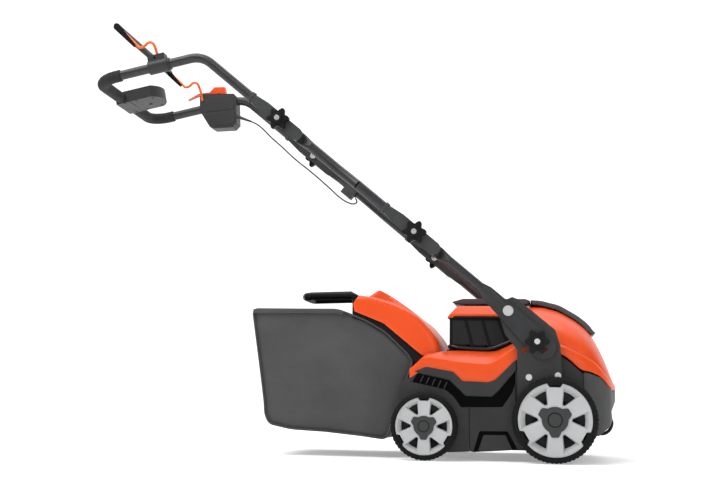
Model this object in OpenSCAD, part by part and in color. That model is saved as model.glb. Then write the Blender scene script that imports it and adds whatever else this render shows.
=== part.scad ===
// Battery push lawn mower: deck, cowls, wheels, folding handle, bail and grass bag.
// Shapes are drawn with the front axle at X = 0 and the ground at Z = 0, then moved
// forward by front_axle_x, so that the origin is under the middle of the whole mower.

/* [Wheels] */
// Diameter of the front tyres
front_tyre_d = 210; // [180:1:230]
// Diameter of the rear tyres
rear_tyre_d = 168; // [150:1:190]
// Distance between the front and rear axle lines
wheelbase = 320; // [300:1:360]
// Distance from the mower's middle to the outer face of each tyre
track_half = 300; // [296:1:320]
// Width of each tyre
tyre_w = 36; // [30:1:37]

/* [Body] */
// Distance from the mower's middle to the outer face of the deck's side
deck_half_w = 235; // [225:1:238]
// Height of the deck's lower edge above the ground
deck_clearance = 28; // [20:1:35]
// Wall thickness of the moulded covers
shell_wall = 3.5; // [2.5:0.5:5]
// Radius of the ring that the blade turns in
tunnel_r = 190; // [170:1:195]
// Distance of the blade's axis behind the front axle
blade_back = 110; // [100:1:115]
// Length of the blade from tip to tip
blade_len = 366; // [320:1:374]

/* [Handle] */
// Slope of the handle's arms above the horizontal
arm_angle = 40; // [36:1:44]
// Slope of the grip section, which falls towards the operator
grip_angle = 12; // [8:1:16]
// Radius of the handle tubes
tube_r = 13; // [11:0.5:13]
// Length between the lower and the upper folding joint
middle_len = 486; // [440:1:500]
// Length from the bracket pivot to the lower folding joint
lower_len = 307; // [290:1:320]
// Length from the upper folding joint to the bend
upper_len = 292; // [280:1:320]
// Length from the bend to the crossbar
grip_len = 305; // [290:1:330]
// Distance from the mower's middle to the upper tubes
upper_half_w = 228; // [220:1:230]
// Distance from the mower's middle to the lower tubes
lower_half_w = 262; // [262:1:264]
// Radius of the foam grips
foam_r = 16.5; // [15:0.5:18]

/* [Grass bag] */
// Distance from the mower's middle to the side of the bag
bag_half_w = 195; // [180:1:198]
// Thickness of the bag's wall
bag_wall = 3; // [2:0.5:4]

/* [Hidden] */
$fn = 48;

// Colours
dark = "#3b3c3d";
black = "#1e1f20";
orange = "#f2551b";
silver = "#c9cacb";
zinc = "#d5d6d8";

// The whole mower's middle lies this far behind the front axle
front_axle_x = 551;
front_r = front_tyre_d / 2;
rear_r = rear_tyre_d / 2;
fit = 0.05;      // radial play of a shaft in its bore
gap = 0.3;       // air between faces of pieces that move past each other

// Joint axes, all parallel to Y, as [x, z]
arm_dir = [-cos(arm_angle), sin(arm_angle)];
joint_low = [-349, 570];
joint_top = joint_low + middle_len * arm_dir;
bend = joint_top + upper_len * arm_dir;
pivot = joint_low - lower_len * arm_dir;
crossbar = bend - grip_len * [cos(grip_angle), sin(grip_angle)];
lock_r = 105.4;           // from the pivot to the locking bolt
lock_angles = [-47, -68.3];
flap_hinge = [-300, 252];
lid_hinge = [-66, 411];
bail_pivot = [-1077, 1066];
lever_pivot = [-1030, 1090];

// Planes across the handle
bracket_y = 255;          // outer face of the side brackets
bracket_t = 8;
arm_plate_t = 8;
tongue_t = 12.7;          // each flattened tube end, half of a tube less the gap
sleeve_t = 3;
knob_t = 20;
bail_y = 204.5;           // plane of the bail's arms
housing_in_y = 209;       // inner face of the bail's housings

// ---------- helpers ----------
module at_axle() translate([front_axle_x, 0, 0]) children();

// A prism across the mower from an outline in X and Z
module side_prism(pts, half_w) {
    rotate([90, 0, 0])
        translate([0, 0, -half_w])
            linear_extrude(2 * half_w) polygon(pts);
}

// A prism from an outline in X and Z, between two planes on the right (-Y) side
module right_prism(pts, y_in, y_out) {
    rotate([90, 0, 0])
        translate([0, 0, y_in])
            linear_extrude(y_out - y_in) polygon(pts);
}

// A prism along X from a half outline in Y and Z, mirrored about Y = 0
module long_prism(half_pts, x0, x1) {
    n = len(half_pts);
    other = [for (i = [n - 1:-1:0]) [-half_pts[i][0], half_pts[i][1]]];
    translate([x0, 0, 0])
        rotate([90, 0, 90])
            linear_extrude(x1 - x0) polygon(concat(half_pts, other));
}

// A prism along Z from a half outline in X and Y, mirrored about Y = 0
module plan_prism(half_pts, z0, z1) {
    n = len(half_pts);
    other = [for (i = [n - 1:-1:0]) [half_pts[i][0], -half_pts[i][1]]];
    translate([0, 0, z0]) linear_extrude(z1 - z0) polygon(concat(half_pts, other));
}

module both_sides() {
    children();
    mirror([0, 1, 0]) children();
}

// A cylinder across the mower on the right side, axis at [x, z]
module pin_y(at, r, y_in, y_out) {
    translate([at[0], -y_in, at[1]]) rotate([90, 0, 0]) cylinder(r = r, h = y_out - y_in);
}

module rod(p, q, r) {
    d = q - p;
    translate(p)
        rotate([0, acos(d[2] / norm(d)), atan2(d[1], d[0])])
            cylinder(r = r, h = norm(d));
}

module rod_path(pts, r) {
    for (i = [0:len(pts) - 2]) rod(pts[i], pts[i + 1], r);
    for (i = [1:len(pts) - 2]) translate(pts[i]) sphere(r = r);
}

// Local +X runs down the handle's arm from the point, local Z is square to it
module arm_frame(at) translate([at[0], 0, at[1]]) rotate([0, arm_angle, 0]) children();

// Local -X runs from the bend to the crossbar, local Z points up from the grip plane
module grip_frame() translate([bend[0], 0, bend[1]]) rotate([0, -grip_angle, 0]) children();

// A flat bar with round ends along local X, between two Y planes on the right side
module flat_bar(x0, x1, half_h, y_in, y_out) {
    translate([0, -y_in, 0])
        rotate([90, 0, 0])
            linear_extrude(y_out - y_in)
                union() {
                    translate([x0, -half_h]) square([x1 - x0, 2 * half_h]);
                    translate([x0, 0]) circle(r = half_h);
                    translate([x1, 0]) circle(r = half_h);
                }
}

// ---------- wheels ----------
// Lugged tread: one lug lies flat on the ground, r below the axle
module tread_outline(r, lugs, depth) {
    step = 360 / lugs;
    tip = r / cos(step / 4);
    polygon([
        for (i = [0:lugs - 1], k = [0:3])
            let (a = -90 + (i - 0.25 + [0, 0.5, 0.6, 0.9][k]) * step, q = k < 2 ? tip : r - depth)
                [q * cos(a), q * sin(a)]
    ]);
}

module tyre(r, rim_r) {
    color(black)
        rotate([90, 0, 0])
            translate([0, 0, track_half - tyre_w])
                difference() {
                    linear_extrude(tyre_w) tread_outline(r, 40, 2.5);
                    translate([0, 0, -1]) cylinder(r = rim_r, h = tyre_w + 2, $fn = 96);
                }
}

module opening_outline(s) {
    offset(r = 3 * s) polygon([[43 * s, 0], [65 * s, 14 * s], [65 * s, -14 * s]]);
}

module rim(rim_r, s) {
    hub_r = 22 * s;
    face_t = 8;
    color(silver)
        rotate([90, 0, 0])
            translate([0, 0, track_half - tyre_w])
                difference() {
                    union() {
                        difference() {
                            cylinder(r = rim_r - fit, h = tyre_w - 1, $fn = 96);
                            translate([0, 0, -1])
                                cylinder(r = rim_r - 4, h = tyre_w - face_t, $fn = 96);
                        }
                        cylinder(r = hub_r, h = tyre_w - 4);
                    }
                    translate([0, 0, -1]) cylinder(r = 6 + fit, h = tyre_w + 2);
                    for (i = [0:5])
                        rotate([0, 0, 60 * i])
                            linear_extrude(tyre_w + 2) opening_outline(s);
                    translate([0, 0, tyre_w - 5]) cap_form(s, 0.2);
                    for (a = [90, 210, 330])
                        rotate([0, 0, a])
                            translate([0, 0, tyre_w - 5])
                                linear_extrude(6)
                                    polygon([
                                        [73 * s, -8.5 * s], [rim_r + 1, -24 * s],
                                        [rim_r + 1, 24 * s], [73 * s, 8.5 * s]
                                    ]);
                }
}

// Three-lobed plate, grown by g all round
module cap_form(s, g) {
    cylinder(r = 30 * s + g, h = 4.5);
    for (a = [30, 150, 270])
        rotate([0, 0, a])
            translate([30.5 * s, 0, 0]) cylinder(r = 9.5 * s + g, h = 4);
}

module hub_cap(s) {
    color(dark)
        rotate([90, 0, 0])
            translate([0, 0, track_half - 5]) {
                cap_form(s, 0);
                cylinder(r = 18.5 * s, h = 5);
            }
}

module wheel_at(x, r, left) {
    at_axle()
        translate([x, 0, r])
            mirror([0, left ? 1 : 0, 0]) children();
}

front_rim_r = 0.829 * front_r;
rear_rim_r = 0.864 * rear_r;
front_s = front_rim_r / 87;
rear_s = rear_rim_r / 87;

module front_right_tyre() wheel_at(0, front_r, false) tyre(front_r, front_rim_r);
module front_right_rim() wheel_at(0, front_r, false) rim(front_rim_r, front_s);
module front_right_cap() wheel_at(0, front_r, false) hub_cap(front_s);
module front_left_tyre() wheel_at(0, front_r, true) tyre(front_r, front_rim_r);
module front_left_rim() wheel_at(0, front_r, true) rim(front_rim_r, front_s);
module front_left_cap() wheel_at(0, front_r, true) hub_cap(front_s);
module rear_right_tyre() wheel_at(-wheelbase, rear_r, false) tyre(rear_r, rear_rim_r);
module rear_right_rim() wheel_at(-wheelbase, rear_r, false) rim(rear_rim_r, rear_s);
module rear_right_cap() wheel_at(-wheelbase, rear_r, false) hub_cap(rear_s);
module rear_left_tyre() wheel_at(-wheelbase, rear_r, true) tyre(rear_r, rear_rim_r);
module rear_left_rim() wheel_at(-wheelbase, rear_r, true) rim(rear_rim_r, rear_s);
module rear_left_cap() wheel_at(-wheelbase, rear_r, true) hub_cap(rear_s);

// Stub axles that the wheels turn on, each with a collar against the deck's boss
module wheel_axles() {
    boss_y = deck_half_w + 15;
    color(zinc)
        at_axle()
            both_sides()
                for (at = [[0, front_r], [-wheelbase, rear_r]]) {
                    pin_y(at, 6, deck_half_w - 6, track_half - 6);
                    pin_y(at, 11, boss_y, track_half - tyre_w - 1);
                }
}

// ---------- deck and covers ----------
deck_side = [
    [-300, deck_clearance], [70, deck_clearance], [70, 218], [40, 245], [18, 261], [-62, 255],
    [-96, 252], [-147, 198], [-168, 190], [-224, 194], [-258, 218], [-325, 229], [-364, 203],
    [-388, 188], [-394, 147], [-372, 90], [-340, deck_clearance + 12]
];
deck_recess = [[-238, 134], [-130, 134], [-99, 190], [-99, 208], [-158, 156], [-220, 159]];
plate_z = 112;
plate_t = 6;

module deck_shell() {
    wall = 4;
    inner_y = deck_half_w - wall;
    screw_points = [[-63, 208], [8, 213]];
    color(dark)
        at_axle()
            difference() {
                union() {
                    both_sides()
                        difference() {
                            right_prism(deck_side, inner_y, deck_half_w);
                            right_prism(deck_recess, 180, 240);
                            for (i = [0:4])
                                right_prism([
                                    [-324 + 13 * i, 176 - 2 * i], [-318 + 13 * i, 176 - 2 * i],
                                    [-326 + 13 * i, 204 - 2 * i], [-332 + 13 * i, 204 - 2 * i]
                                ], 180, 240);
                        }
                    // horizontal plate, tunnel ring, front and rear walls
                    translate([-330, -inner_y - 1, plate_z])
                        cube([399, 2 * inner_y + 2, plate_t]);
                    translate([-blade_back, 0, deck_clearance])
                        cylinder(r = tunnel_r + wall, h = plate_z - deck_clearance + 2);
                    translate([65.5, -inner_y - 1, deck_clearance + 1])
                        cube([wall, 2 * inner_y + 2, 186]);
                    both_sides()
                        right_prism([[-345, 114], [-345, 190], [-334, 214], [-324, 114]], 102,
                            inner_y + 1);
                    both_sides()
                        right_prism([[-246, 117], [-92, 117], [-92, 222], [-246, 212]], 200, 204);
                    both_sides()
                        for (at = [[0, front_r], [-wheelbase, rear_r]])
                            pin_y(at, 16, deck_half_w - 8, deck_half_w + 15);
                    both_sides()
                        for (at = screw_points) pin_y(at, 9, inner_y, bracket_y - bracket_t);
                }
                // room for the blade, the chute, the motor and the axles
                translate([-blade_back, 0, deck_clearance - 1])
                    cylinder(r = tunnel_r, h = plate_z - deck_clearance + 1);
                translate([-345, -100, 45]) cube([150, 200, 80]);
                translate([-blade_back, 0, plate_z - 1]) cylinder(r = 20, h = plate_t + 2);
                both_sides()
                    for (at = [[0, front_r], [-wheelbase, rear_r]])
                        pin_y(at, 6 + fit, 200, deck_half_w + 20);
                both_sides()
                    for (at = screw_points) pin_y(at, 3 + fit, 200, 260);
            }
}

// Stations of the orange side cover: [x, low z, crease z, inner y, inner z]
cowl_stations = [
    [-364, 206, 222, 204, 228], [-325, 233, 258, 204, 266], [-278, 226, 252, 200, 273],
    [-274, 225, 251, 158, 275], [-257, 222, 248, 158, 276],
    [-223, 198, 244, 158, 276], [-167, 194, 240, 158, 274], [-147, 202, 248, 158, 276],
    [-98, 256, 284, 158, 298], [-64, 260, 290, 158, 302]
];

module bead(x, y, z) translate([x, -y, z]) cube([0.6, shell_wall, shell_wall], center = true);

module side_cowl() {
    out_y = deck_half_w - 1;
    color(orange)
        at_axle()
            both_sides()
                for (i = [0:len(cowl_stations) - 2]) {
                    a = cowl_stations[i];
                    b = cowl_stations[i + 1];
                    hull() for (s = [a, b]) {
                        bead(s[0], out_y, s[1] + shell_wall / 2);
                        bead(s[0], out_y - 5, s[2]);
                    }
                    hull() for (s = [a, b]) {
                        bead(s[0], out_y - 5, s[2]);
                        bead(s[0], s[3], s[4]);
                    }
                }
}

hood_top = [[-62, 403], [-34, 405], [12, 393], [57, 367], [84, 345], [105, 316], [127, 268],
    [144, 226], [156, 184]];
hood_low = [[138, 187], [118, 212], [86, 226], [66, 227], [40, 252], [19, 268], [-62, 262]];
hood_cross = [[235, 150], [235, 270], [226, 290], [196, 320], [150, 368], [112, 394], [76, 403],
    [0, 407]];
hood_plan = [[-62, 236], [70, 236], [112, 218], [140, 178], [156, 110], [160, 0]];

module hood_form(inset) {
    intersection() {
        side_prism(concat(
            [for (p = hood_top) p - [inset * 0.7, inset]],
            inset > 0 ? [[150, 100], [-70, 100]] : hood_low
        ), 240);
        long_prism([for (p = hood_cross) [max(p[0] - inset, 0), p[1] - inset]], -70, 170);
        plan_prism([for (p = hood_plan) [p[0] - inset, max(p[1] - inset, 0)]], 90, 420);
    }
}

module front_hood() {
    color(orange)
        at_axle()
            difference() {
                hood_form(0);
                hood_form(shell_wall);
                translate([-70, -300, 100]) cube([8 + fit, 600, 320]);
            }
}

module hood_strip() {
    top = [[-60, 418.5], [-32, 416], [15, 404], [62, 377], [90, 355], [109, 329]];
    low = [[104, 322], [85, 345.5], [58, 367.8], [12.5, 393.6], [-34, 405.6], [-60, 404]];
    color(dark) at_axle() side_prism(concat(top, low), 75);
}

module top_cap() {
    outer = [[-277, 362], [-254, 392], [-232, 398], [-63, 400], [-63, 362]];
    cross = [[150, 360], [150, 372], [126, 395], [0, 401]];
    color(orange)
        at_axle()
            difference() {
                intersection() {
                    side_prism(outer, 160);
                    long_prism(cross, -280, -60);
                }
                intersection() {
                    side_prism([[-272, 355], [-272, 362], [-252, 388], [-231, 394], [-60, 396],
                        [-60, 355]], 160);
                    long_prism([[146, 350], [146, 370], [124, 391], [0, 397]], -280, -60);
                }
                translate([-240, -64, 380]) cube([150, 128, 40]);
            }
}

module vent_housing() {
    slant = 26;
    color(black)
        at_axle()
            difference() {
                union() {
                    translate([-270, -146, 279]) cube([207, 292, 83 - fit]);
                    translate([-277, -153, 271]) cube([214, 306, 8]);
                }
                translate([-266, -142, 270]) cube([205, 284, 100]);
                both_sides()
                    for (i = [0:2])
                        right_prism([
                            [-222 + 45 * i, 286], [-216 + 45 * i, 286],
                            [-216 + 45 * i - slant, 350], [-222 + 45 * i - slant, 350]
                        ], 140, 150);
            }
}

module front_bumper() {
    outer = [[71, 223], [86, 221], [118, 207], [137, 181], [155, 180], [149, 151], [138, 127],
        [141, 107], [133, 89], [104, 67], [71, 60]];
    plan = [[60, 230], [80, 228], [112, 212], [136, 176], [154, 110], [160, 0]];
    color("#5a5b5c")
        at_axle()
            difference() {
                intersection() {
                    side_prism([for (p = outer) p[0] > 100 ? p + [4, 0] : p], 235);
                    plan_prism(plan, 50, 230);
                }
                intersection() {
                    side_prism([[60, 217], [86, 216], [114, 202], [133, 176], [150, 175],
                        [145, 151], [134, 127], [137, 107], [130, 93], [102, 72], [60, 65]], 230);
                    plan_prism([for (p = plan) [p[0] - 4, max(p[1] - 4, 0)]], 50, 230);
                }
                translate([-blade_back, 0, 40]) cylinder(r = tunnel_r + 4.3, h = 74);
            }
}

bracket_outline = [
    [-91, 124], [-92, 276], [-121, 313], [-141, 375], [-132, 396], [-104, 408], [-91, 403],
    [2, 326], [14, 289], [19, 203], [21, 124]
];

function lock_point(a) = pivot + lock_r * [cos(a), sin(a)];

// Curved slot that the lock bolt travels in between its two places
module lock_slot() {
    steps = 16;
    half_w = 4 + 2 * fit;
    function at(r, i) = pivot + r * [
        cos(lock_angles[0] + (lock_angles[1] - lock_angles[0]) * i / steps),
        sin(lock_angles[0] + (lock_angles[1] - lock_angles[0]) * i / steps)
    ];
    right_prism(concat(
        [for (i = [0:steps]) at(lock_r + half_w, i)],
        [for (i = [steps:-1:0]) at(lock_r - half_w, i)]
    ), bracket_y - bracket_t - 1, bracket_y + 1);
}

module bracket() {
    color(dark)
        difference() {
            right_prism(bracket_outline, bracket_y - bracket_t, bracket_y);
            pin_y(pivot, 5 + fit, 240, 260);
            lock_slot();
            for (a = lock_angles)
                translate([lock_point(a)[0], -bracket_y, lock_point(a)[1]])
                    rotate([0, 45, 0]) cube([13, 30, 13], center = true);
            translate([-22, -bracket_y, 278]) rotate([0, 45, 0]) cube([9, 30, 9], center = true);
            for (at = [[-63, 208], [8, 213]]) pin_y(at, 3 + fit, 240, 260);
        }
}

module side_brackets() at_axle() both_sides() bracket();

module bracket_screws() {
    color(zinc)
        at_axle()
            both_sides()
                for (at = [[-63, 208], [8, 213]]) {
                    pin_y(at, 3, deck_half_w, bracket_y);
                    pin_y(at, 8, bracket_y, bracket_y + 2.5);
                    pin_y(at, 5.5, bracket_y + 2.5, bracket_y + 4);
                }
}

module discharge_chute() {
    outer = [[-300, 60], [-300, 117], [-330, 180], [-344, 236], [-352, 238], [-390, 110],
        [-340, 60]];
    inner = [[-290, 64], [-290, 112], [-326, 180], [-339, 240], [-360, 250], [-400, 108],
        [-338, 64]];
    color(black)
        at_axle()
            difference() {
                side_prism(outer, 98);
                side_prism(inner, 94);
            }
}

// ---------- drive ----------
module motor_housing() {
    color("#8d8f91")
        at_axle()
            translate([-blade_back, 0, plate_z + plate_t])
                difference() {
                    union() {
                        cylinder(r = 66, h = 8);
                        cylinder(r = 54, h = 112);
                        for (i = [0:11]) rotate([0, 0, 30 * i]) translate([50, -2, 8]) cube([9, 4, 90]);
                    }
                    translate([0, 0, -1]) cylinder(r = 8 + fit, h = 16);
                    translate([0, 0, 14]) cylinder(r = 48, h = 92);
                }
}

module motor_shaft() {
    color(zinc)
        at_axle()
            translate([-blade_back, 0, 0]) {
                translate([0, 0, 58]) cylinder(r = 8, h = 78);
                translate([0, 0, 136]) cylinder(r = 34, h = 76);
            }
}

module blade_adapter() {
    color("#6e7073")
        at_axle()
            translate([-blade_back, 0, 0])
                difference() {
                    union() {
                        translate([0, 0, 52]) cylinder(r = 30, h = 8);
                        translate([0, 0, 60]) cylinder(r = 15, h = 30);
                    }
                    translate([0, 0, 58]) cylinder(r = 8 + fit, h = 40);
                    translate([0, 0, 50]) cylinder(r = 4 + fit, h = 12);
                }
}

module blade() {
    half = blade_len / 2;
    color("#84878a")
        at_axle()
            translate([-blade_back, 0, 48])
                difference() {
                    union() {
                        linear_extrude(4)
                            polygon([
                                [-half, -25], [-40, -25], [40, -28], [half, -20],
                                [half, 25], [40, 25], [-40, 28], [-half, 20]
                            ]);
                        for (a = [0, 180])
                            rotate([0, 0, a])
                                translate([half - 70, 8, 2]) rotate([32, 0, 0]) cube([68, 18, 4]);
                    }
                    translate([0, 0, -1]) cylinder(r = 4 + fit, h = 6);
                }
}

module blade_bolt() {
    color(zinc)
        at_axle()
            translate([-blade_back, 0, 0]) {
                translate([0, 0, 40]) cylinder(r = 9, h = 8, $fn = 6);
                translate([0, 0, 48]) cylinder(r = 4, h = 9.9);
            }
}

module battery_bay() {
    color(black)
        at_axle()
            difference() {
                translate([-238, -62, 284]) cube([146, 124, 112]);
                translate([-234.5, -58.5, 288]) cube([139, 117, 120]);
            }
}

module battery_pack() {
    color(dark)
        at_axle()
            union() {
                translate([-231, -55, 288.3]) cube([132, 110, 92]);
                translate([-205, -30, 380]) cube([80, 60, 10]);
            }
}

// ---------- moving covers ----------
flap_main = [[-505, 418], [-470, 413], [-420, 399], [-358, 369], [-322, 334], [-300, 303],
    [-289, 262]];
flap_low = [[-337, 262], [-438, 344], [-516, 375], [-519, 395]];
flap_inner = [[-503, 414], [-470, 409], [-422, 395], [-361, 366], [-326, 331], [-305, 300],
    [-296, 240], [-340, 240], [-440, 330], [-520, 350], [-530, 385], [-515, 396]];
flap_raised = [[-482, 447], [-440, 428], [-387, 392], [-340, 352], [-312, 318], [-292, 281],
    [-296, 262], [-303, 300], [-324, 332], [-360, 367], [-421, 396], [-470, 411], [-488, 414]];

module rear_flap() {
    color(orange)
        at_axle()
            difference() {
                union() {
                    difference() {
                        side_prism(concat(flap_main, flap_low), bag_half_w);
                        side_prism(flap_inner, bag_half_w - shell_wall);
                    }
                    side_prism(flap_raised, 100);
                    both_sides() {
                        pin_y(flap_hinge, 9, 150, 162);
                        right_prism([[-308, 252], [-308, 300], [-294, 300], [-292, 252]], 150, 162);
                    }
                }
                both_sides() pin_y(flap_hinge, 4 + fit, 140, 200);
            }
}

module battery_lid() {
    color(dark)
        at_axle()
            difference() {
                union() {
                    side_prism([[-268, 408], [-268, 411], [-240, 419], [-74, 419], [-62, 414],
                        [-62, 408], [-74, 405], [-240, 405]], 75);
                    side_prism([[-262, 404], [-262, 408], [-240, 408], [-240, 402]], 70);
                }
                pin_y(lid_hinge, 2.5 + fit, -80, 80);
                both_sides() translate([-71, -60, 400]) cube([12, 12, 30]);
            }
}

// Pins of the lid and of the rear flap, with the lugs that hold them
module hinge_pins() {
    color(zinc)
        at_axle() {
            pin_y(lid_hinge, 2.5, -74, 74);
            pin_y(flap_hinge, 4, -200, 200);
            both_sides() pin_y(lid_hinge, 4.5, 49, 59);
        }
}

module flap_spring() {
    coils = 5;
    pitch = 2.6;
    color(silver)
        at_axle()
            both_sides() {
                for (i = [0:coils - 1])
                    translate([flap_hinge[0], -128 - pitch * i, flap_hinge[1]])
                        rotate([90, 0, 0]) rotate_extrude() translate([6.4, 0]) circle(r = 1.35);
            }
}

// ---------- handle ----------
// Upper member of a folding joint: outer half of the flattened tube, on the right side
module outer_tongue(yc) {
    difference() {
        union() {
            hull() {
                translate([-100, -yc, 0])
                    rotate([0, 90, 0]) cylinder(r = tube_r - 0.3, h = 1, $fn = 32);
                translate([-62, -yc - gap / 2 - tongue_t, -16]) cube([1, tongue_t, 32]);
            }
            translate([-62, 0, 0]) flat_bar(1, 126, 16, yc + gap / 2, yc + gap / 2 + tongue_t);
        }
        pin_y([0, 0], 4 + fit, yc - 30, yc + 30);
    }
}

// Lower member of a folding joint: inner half, opening into the round tube below
module inner_tongue(yc) {
    difference() {
        union() {
            flat_bar(-40, 82, 15, yc - gap / 2 - tongue_t, yc - gap / 2);
            hull() {
                translate([81, -yc + gap / 2, -15]) cube([1, tongue_t, 30]);
                translate([112, -yc, 0])
                    rotate([0, 90, 0]) cylinder(r = tube_r - 0.3, h = 1, $fn = 32);
            }
        }
        pin_y([0, 0], 4 + fit, yc - 30, yc + 30);
    }
}

collar_t = 2.6;   // wall of the sleeve round the tube
bend_room = 0.4;  // extra room in pieces that slide over the bent tube

// Moulded sleeve: a collar round the tube and a cover plate on the flattened end
module sleeve(yc) {
    face_y = yc + gap / 2 + tongue_t;
    color("#4a4b4c")
        difference() {
            union() {
                translate([-108, -yc, 0]) rotate([0, 90, 0]) cylinder(r = tube_r + collar_t, h = 9);
                flat_bar(-52, 63, 17, face_y, face_y + sleeve_t);
                hull() {
                    translate([-100, -face_y - 1.5, -8]) cube([1, 1.5, 16]);
                    translate([-53, -face_y - sleeve_t, -16]) cube([1, sleeve_t, 32]);
                }
            }
            pin_y([0, 0], 4 + fit, yc - 30, yc + 30);
            translate([-120, -yc, 0]) rotate([0, 90, 0]) cylinder(r = tube_r + fit, h = 70);
            outer_tongue_room(yc);
        }
}

module outer_tongue_room(yc) {
    hull() {
        translate([-100, -yc, 0])
            rotate([0, 90, 0]) cylinder(r = tube_r + fit, h = 1, $fn = 32);
        translate([-62, -yc - gap / 2 - tongue_t, -17]) cube([1, tongue_t, 34]);
    }
}

module joint_bolt(yc) {
    head_in = yc - gap / 2 - tongue_t;
    end_out = yc + gap / 2 + tongue_t + sleeve_t + knob_t;
    color(zinc) {
        pin_y([0, 0], 4, head_in, end_out);
        pin_y([0, 0], 9, head_in - 4, head_in);
        pin_y([0, 0], 7, end_out, end_out + 3);
    }
}

module plate_end(at, r) {
    translate([at[0], -bracket_y - gap, at[1]])
        rotate([90, 0, 0]) cylinder(r = r, h = arm_plate_t, $fn = 32);
}

module lower_arm() {
    plate_top = pivot + [-52, 44];
    plate_low = [-27, 283];
    tube_end = lower_len - 95;
    difference() {
        union() {
            arm_frame(joint_low) inner_tongue(lower_half_w);
            arm_frame(joint_low)
                translate([112, -lower_half_w, 0])
                    rotate([0, 90, 0]) cylinder(r = tube_r, h = tube_end - 112);
            hull() {
                arm_frame(joint_low)
                    translate([tube_end - 1, -lower_half_w, 0])
                        rotate([0, 90, 0]) cylinder(r = tube_r - 0.6, h = 0.9, $fn = 32);
                plate_end(plate_top, 18);
            }
            hull() {
                plate_end(plate_top, 18);
                plate_end(plate_low, 31);
            }
        }
        pin_y(pivot, 5 + fit, 240, 290);
        pin_y(lock_point(lock_angles[0]), 4 + fit, 240, 290);
        translate([-22, -260, 278]) rotate([0, 45, 0]) cube([9, 30, 9], center = true);
    }
}

module lower_arms() color(dark) at_axle() both_sides() lower_arm();

// Pivot bolts, locking bolts and lower joint bolts
module lower_bolts() {
    plate_out = bracket_y + gap + arm_plate_t;
    lock = lock_point(lock_angles[0]);
    at_axle()
        both_sides() {
            arm_frame(joint_low) joint_bolt(lower_half_w);
            color(zinc) {
                pin_y(pivot, 5, bracket_y - bracket_t - 1, plate_out);
                pin_y(pivot, 13, plate_out, plate_out + 2);
                pin_y(pivot, 9, plate_out + 2, plate_out + 5);
                pin_y(pivot, 8, bracket_y - bracket_t - 4, bracket_y - bracket_t - 1);
                pin_y(lock, 4, bracket_y - bracket_t - 1, plate_out + knob_t);
                pin_y(lock, 7, plate_out + knob_t, plate_out + knob_t + 3);
                pin_y(lock, 10, bracket_y - bracket_t - 4, bracket_y - bracket_t - 1);
            }
        }
}

shift_at = [215, 290];   // where the middle tubes step outwards, along the arm

module middle_tube() {
    arm_frame(joint_top) {
        inner_tongue(upper_half_w);
        rod_path([
            [112, -upper_half_w, 0], [shift_at[0], -upper_half_w, 0],
            [shift_at[1], -lower_half_w, 0], [middle_len - 99.5, -lower_half_w, 0]
        ], tube_r);
    }
    arm_frame(joint_low) outer_tongue(lower_half_w);
}

module middle_tubes() color(dark) at_axle() both_sides() middle_tube();
module middle_sleeves() at_axle() both_sides() arm_frame(joint_low) sleeve(lower_half_w);
module upper_sleeves() at_axle() both_sides() arm_frame(joint_top) sleeve(upper_half_w);
module middle_bolts() at_axle() both_sides() arm_frame(joint_top) joint_bolt(upper_half_w);

bend_r = 70;
corner_r = 55;
bend_turn = arm_angle + grip_angle;
bend_tan = bend_r * tan(bend_turn / 2);

// Points of an arc of radius rad about c, from unit vector a turning to unit vector b
function arc_points(c, rad, a, b, turn, steps) =
    [for (i = [0:steps]) c + rad * (a * cos(turn * i / steps) + b * sin(turn * i / steps))];

arm_down = [-arm_dir[0], 0, -arm_dir[1]];          // along the arm, towards the deck
arm_up = [sin(arm_angle), 0, cos(arm_angle)];      // square to the arm
grip_fwd = [cos(grip_angle), 0, sin(grip_angle)];  // along the grip, towards the deck
side_y = [0, -1, 0];

// Centre line of the right half of the loop, from the joint to the crossbar
function loop_line() =
    let (
        v = [bend[0], -upper_half_w, bend[1]],
        c1 = v + bend_tan * arm_down - bend_r * arm_up,
        q = [crossbar[0], -upper_half_w, crossbar[1]],
        c2 = q + corner_r * grip_fwd - corner_r * side_y
    )
        concat(
            [v + (upper_len - 99) * arm_down],
            arc_points(c1, bend_r, arm_up, -arm_down, bend_turn, 8),
            arc_points(c2, corner_r, side_y, -grip_fwd, 90, 8)
        );

module loop_corner(r) {
    translate([-grip_len + corner_r, -upper_half_w + corner_r, 0])
        rotate([0, 0, 180])
            rotate_extrude(angle = 90) translate([corner_r, 0]) circle(r = r);
}

module handle_loop() {
    color(dark)
        at_axle() {
            right = loop_line();
            n = len(right);
            left = [for (i = [n - 1:-1:0]) [right[i][0], -right[i][1], right[i][2]]];
            swept(concat(right, left), tube_r, 24, [0.3, 0, 1]);
            both_sides() arm_frame(joint_top) outer_tongue(upper_half_w);
        }
}

box_half_w = 55;
foam_end = 235;

module foam_grips() {
    foam_in = tube_r + bend_room;
    color(black)
        at_axle()
            both_sides()
                grip_frame() {
                    difference() {
                        translate([-grip_len + corner_r, -upper_half_w, 0])
                            rotate([0, 90, 0])
                                cylinder(r = foam_r, h = grip_len - corner_r - foam_end);
                        translate([-grip_len, -upper_half_w, 0])
                            rotate([0, 90, 0]) cylinder(r = foam_in, h = 200);
                    }
                    difference() {
                        loop_corner(foam_r);
                        loop_corner(foam_in);
                    }
                    difference() {
                        translate([-grip_len, -box_half_w - 1, 0])
                            rotate([90, 0, 0])
                                cylinder(r = foam_r, h = upper_half_w - corner_r - box_half_w - 1);
                        translate([-grip_len, 0, 0])
                            rotate([90, 0, 0]) cylinder(r = foam_in, h = 300);
                    }
                }
}

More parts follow.
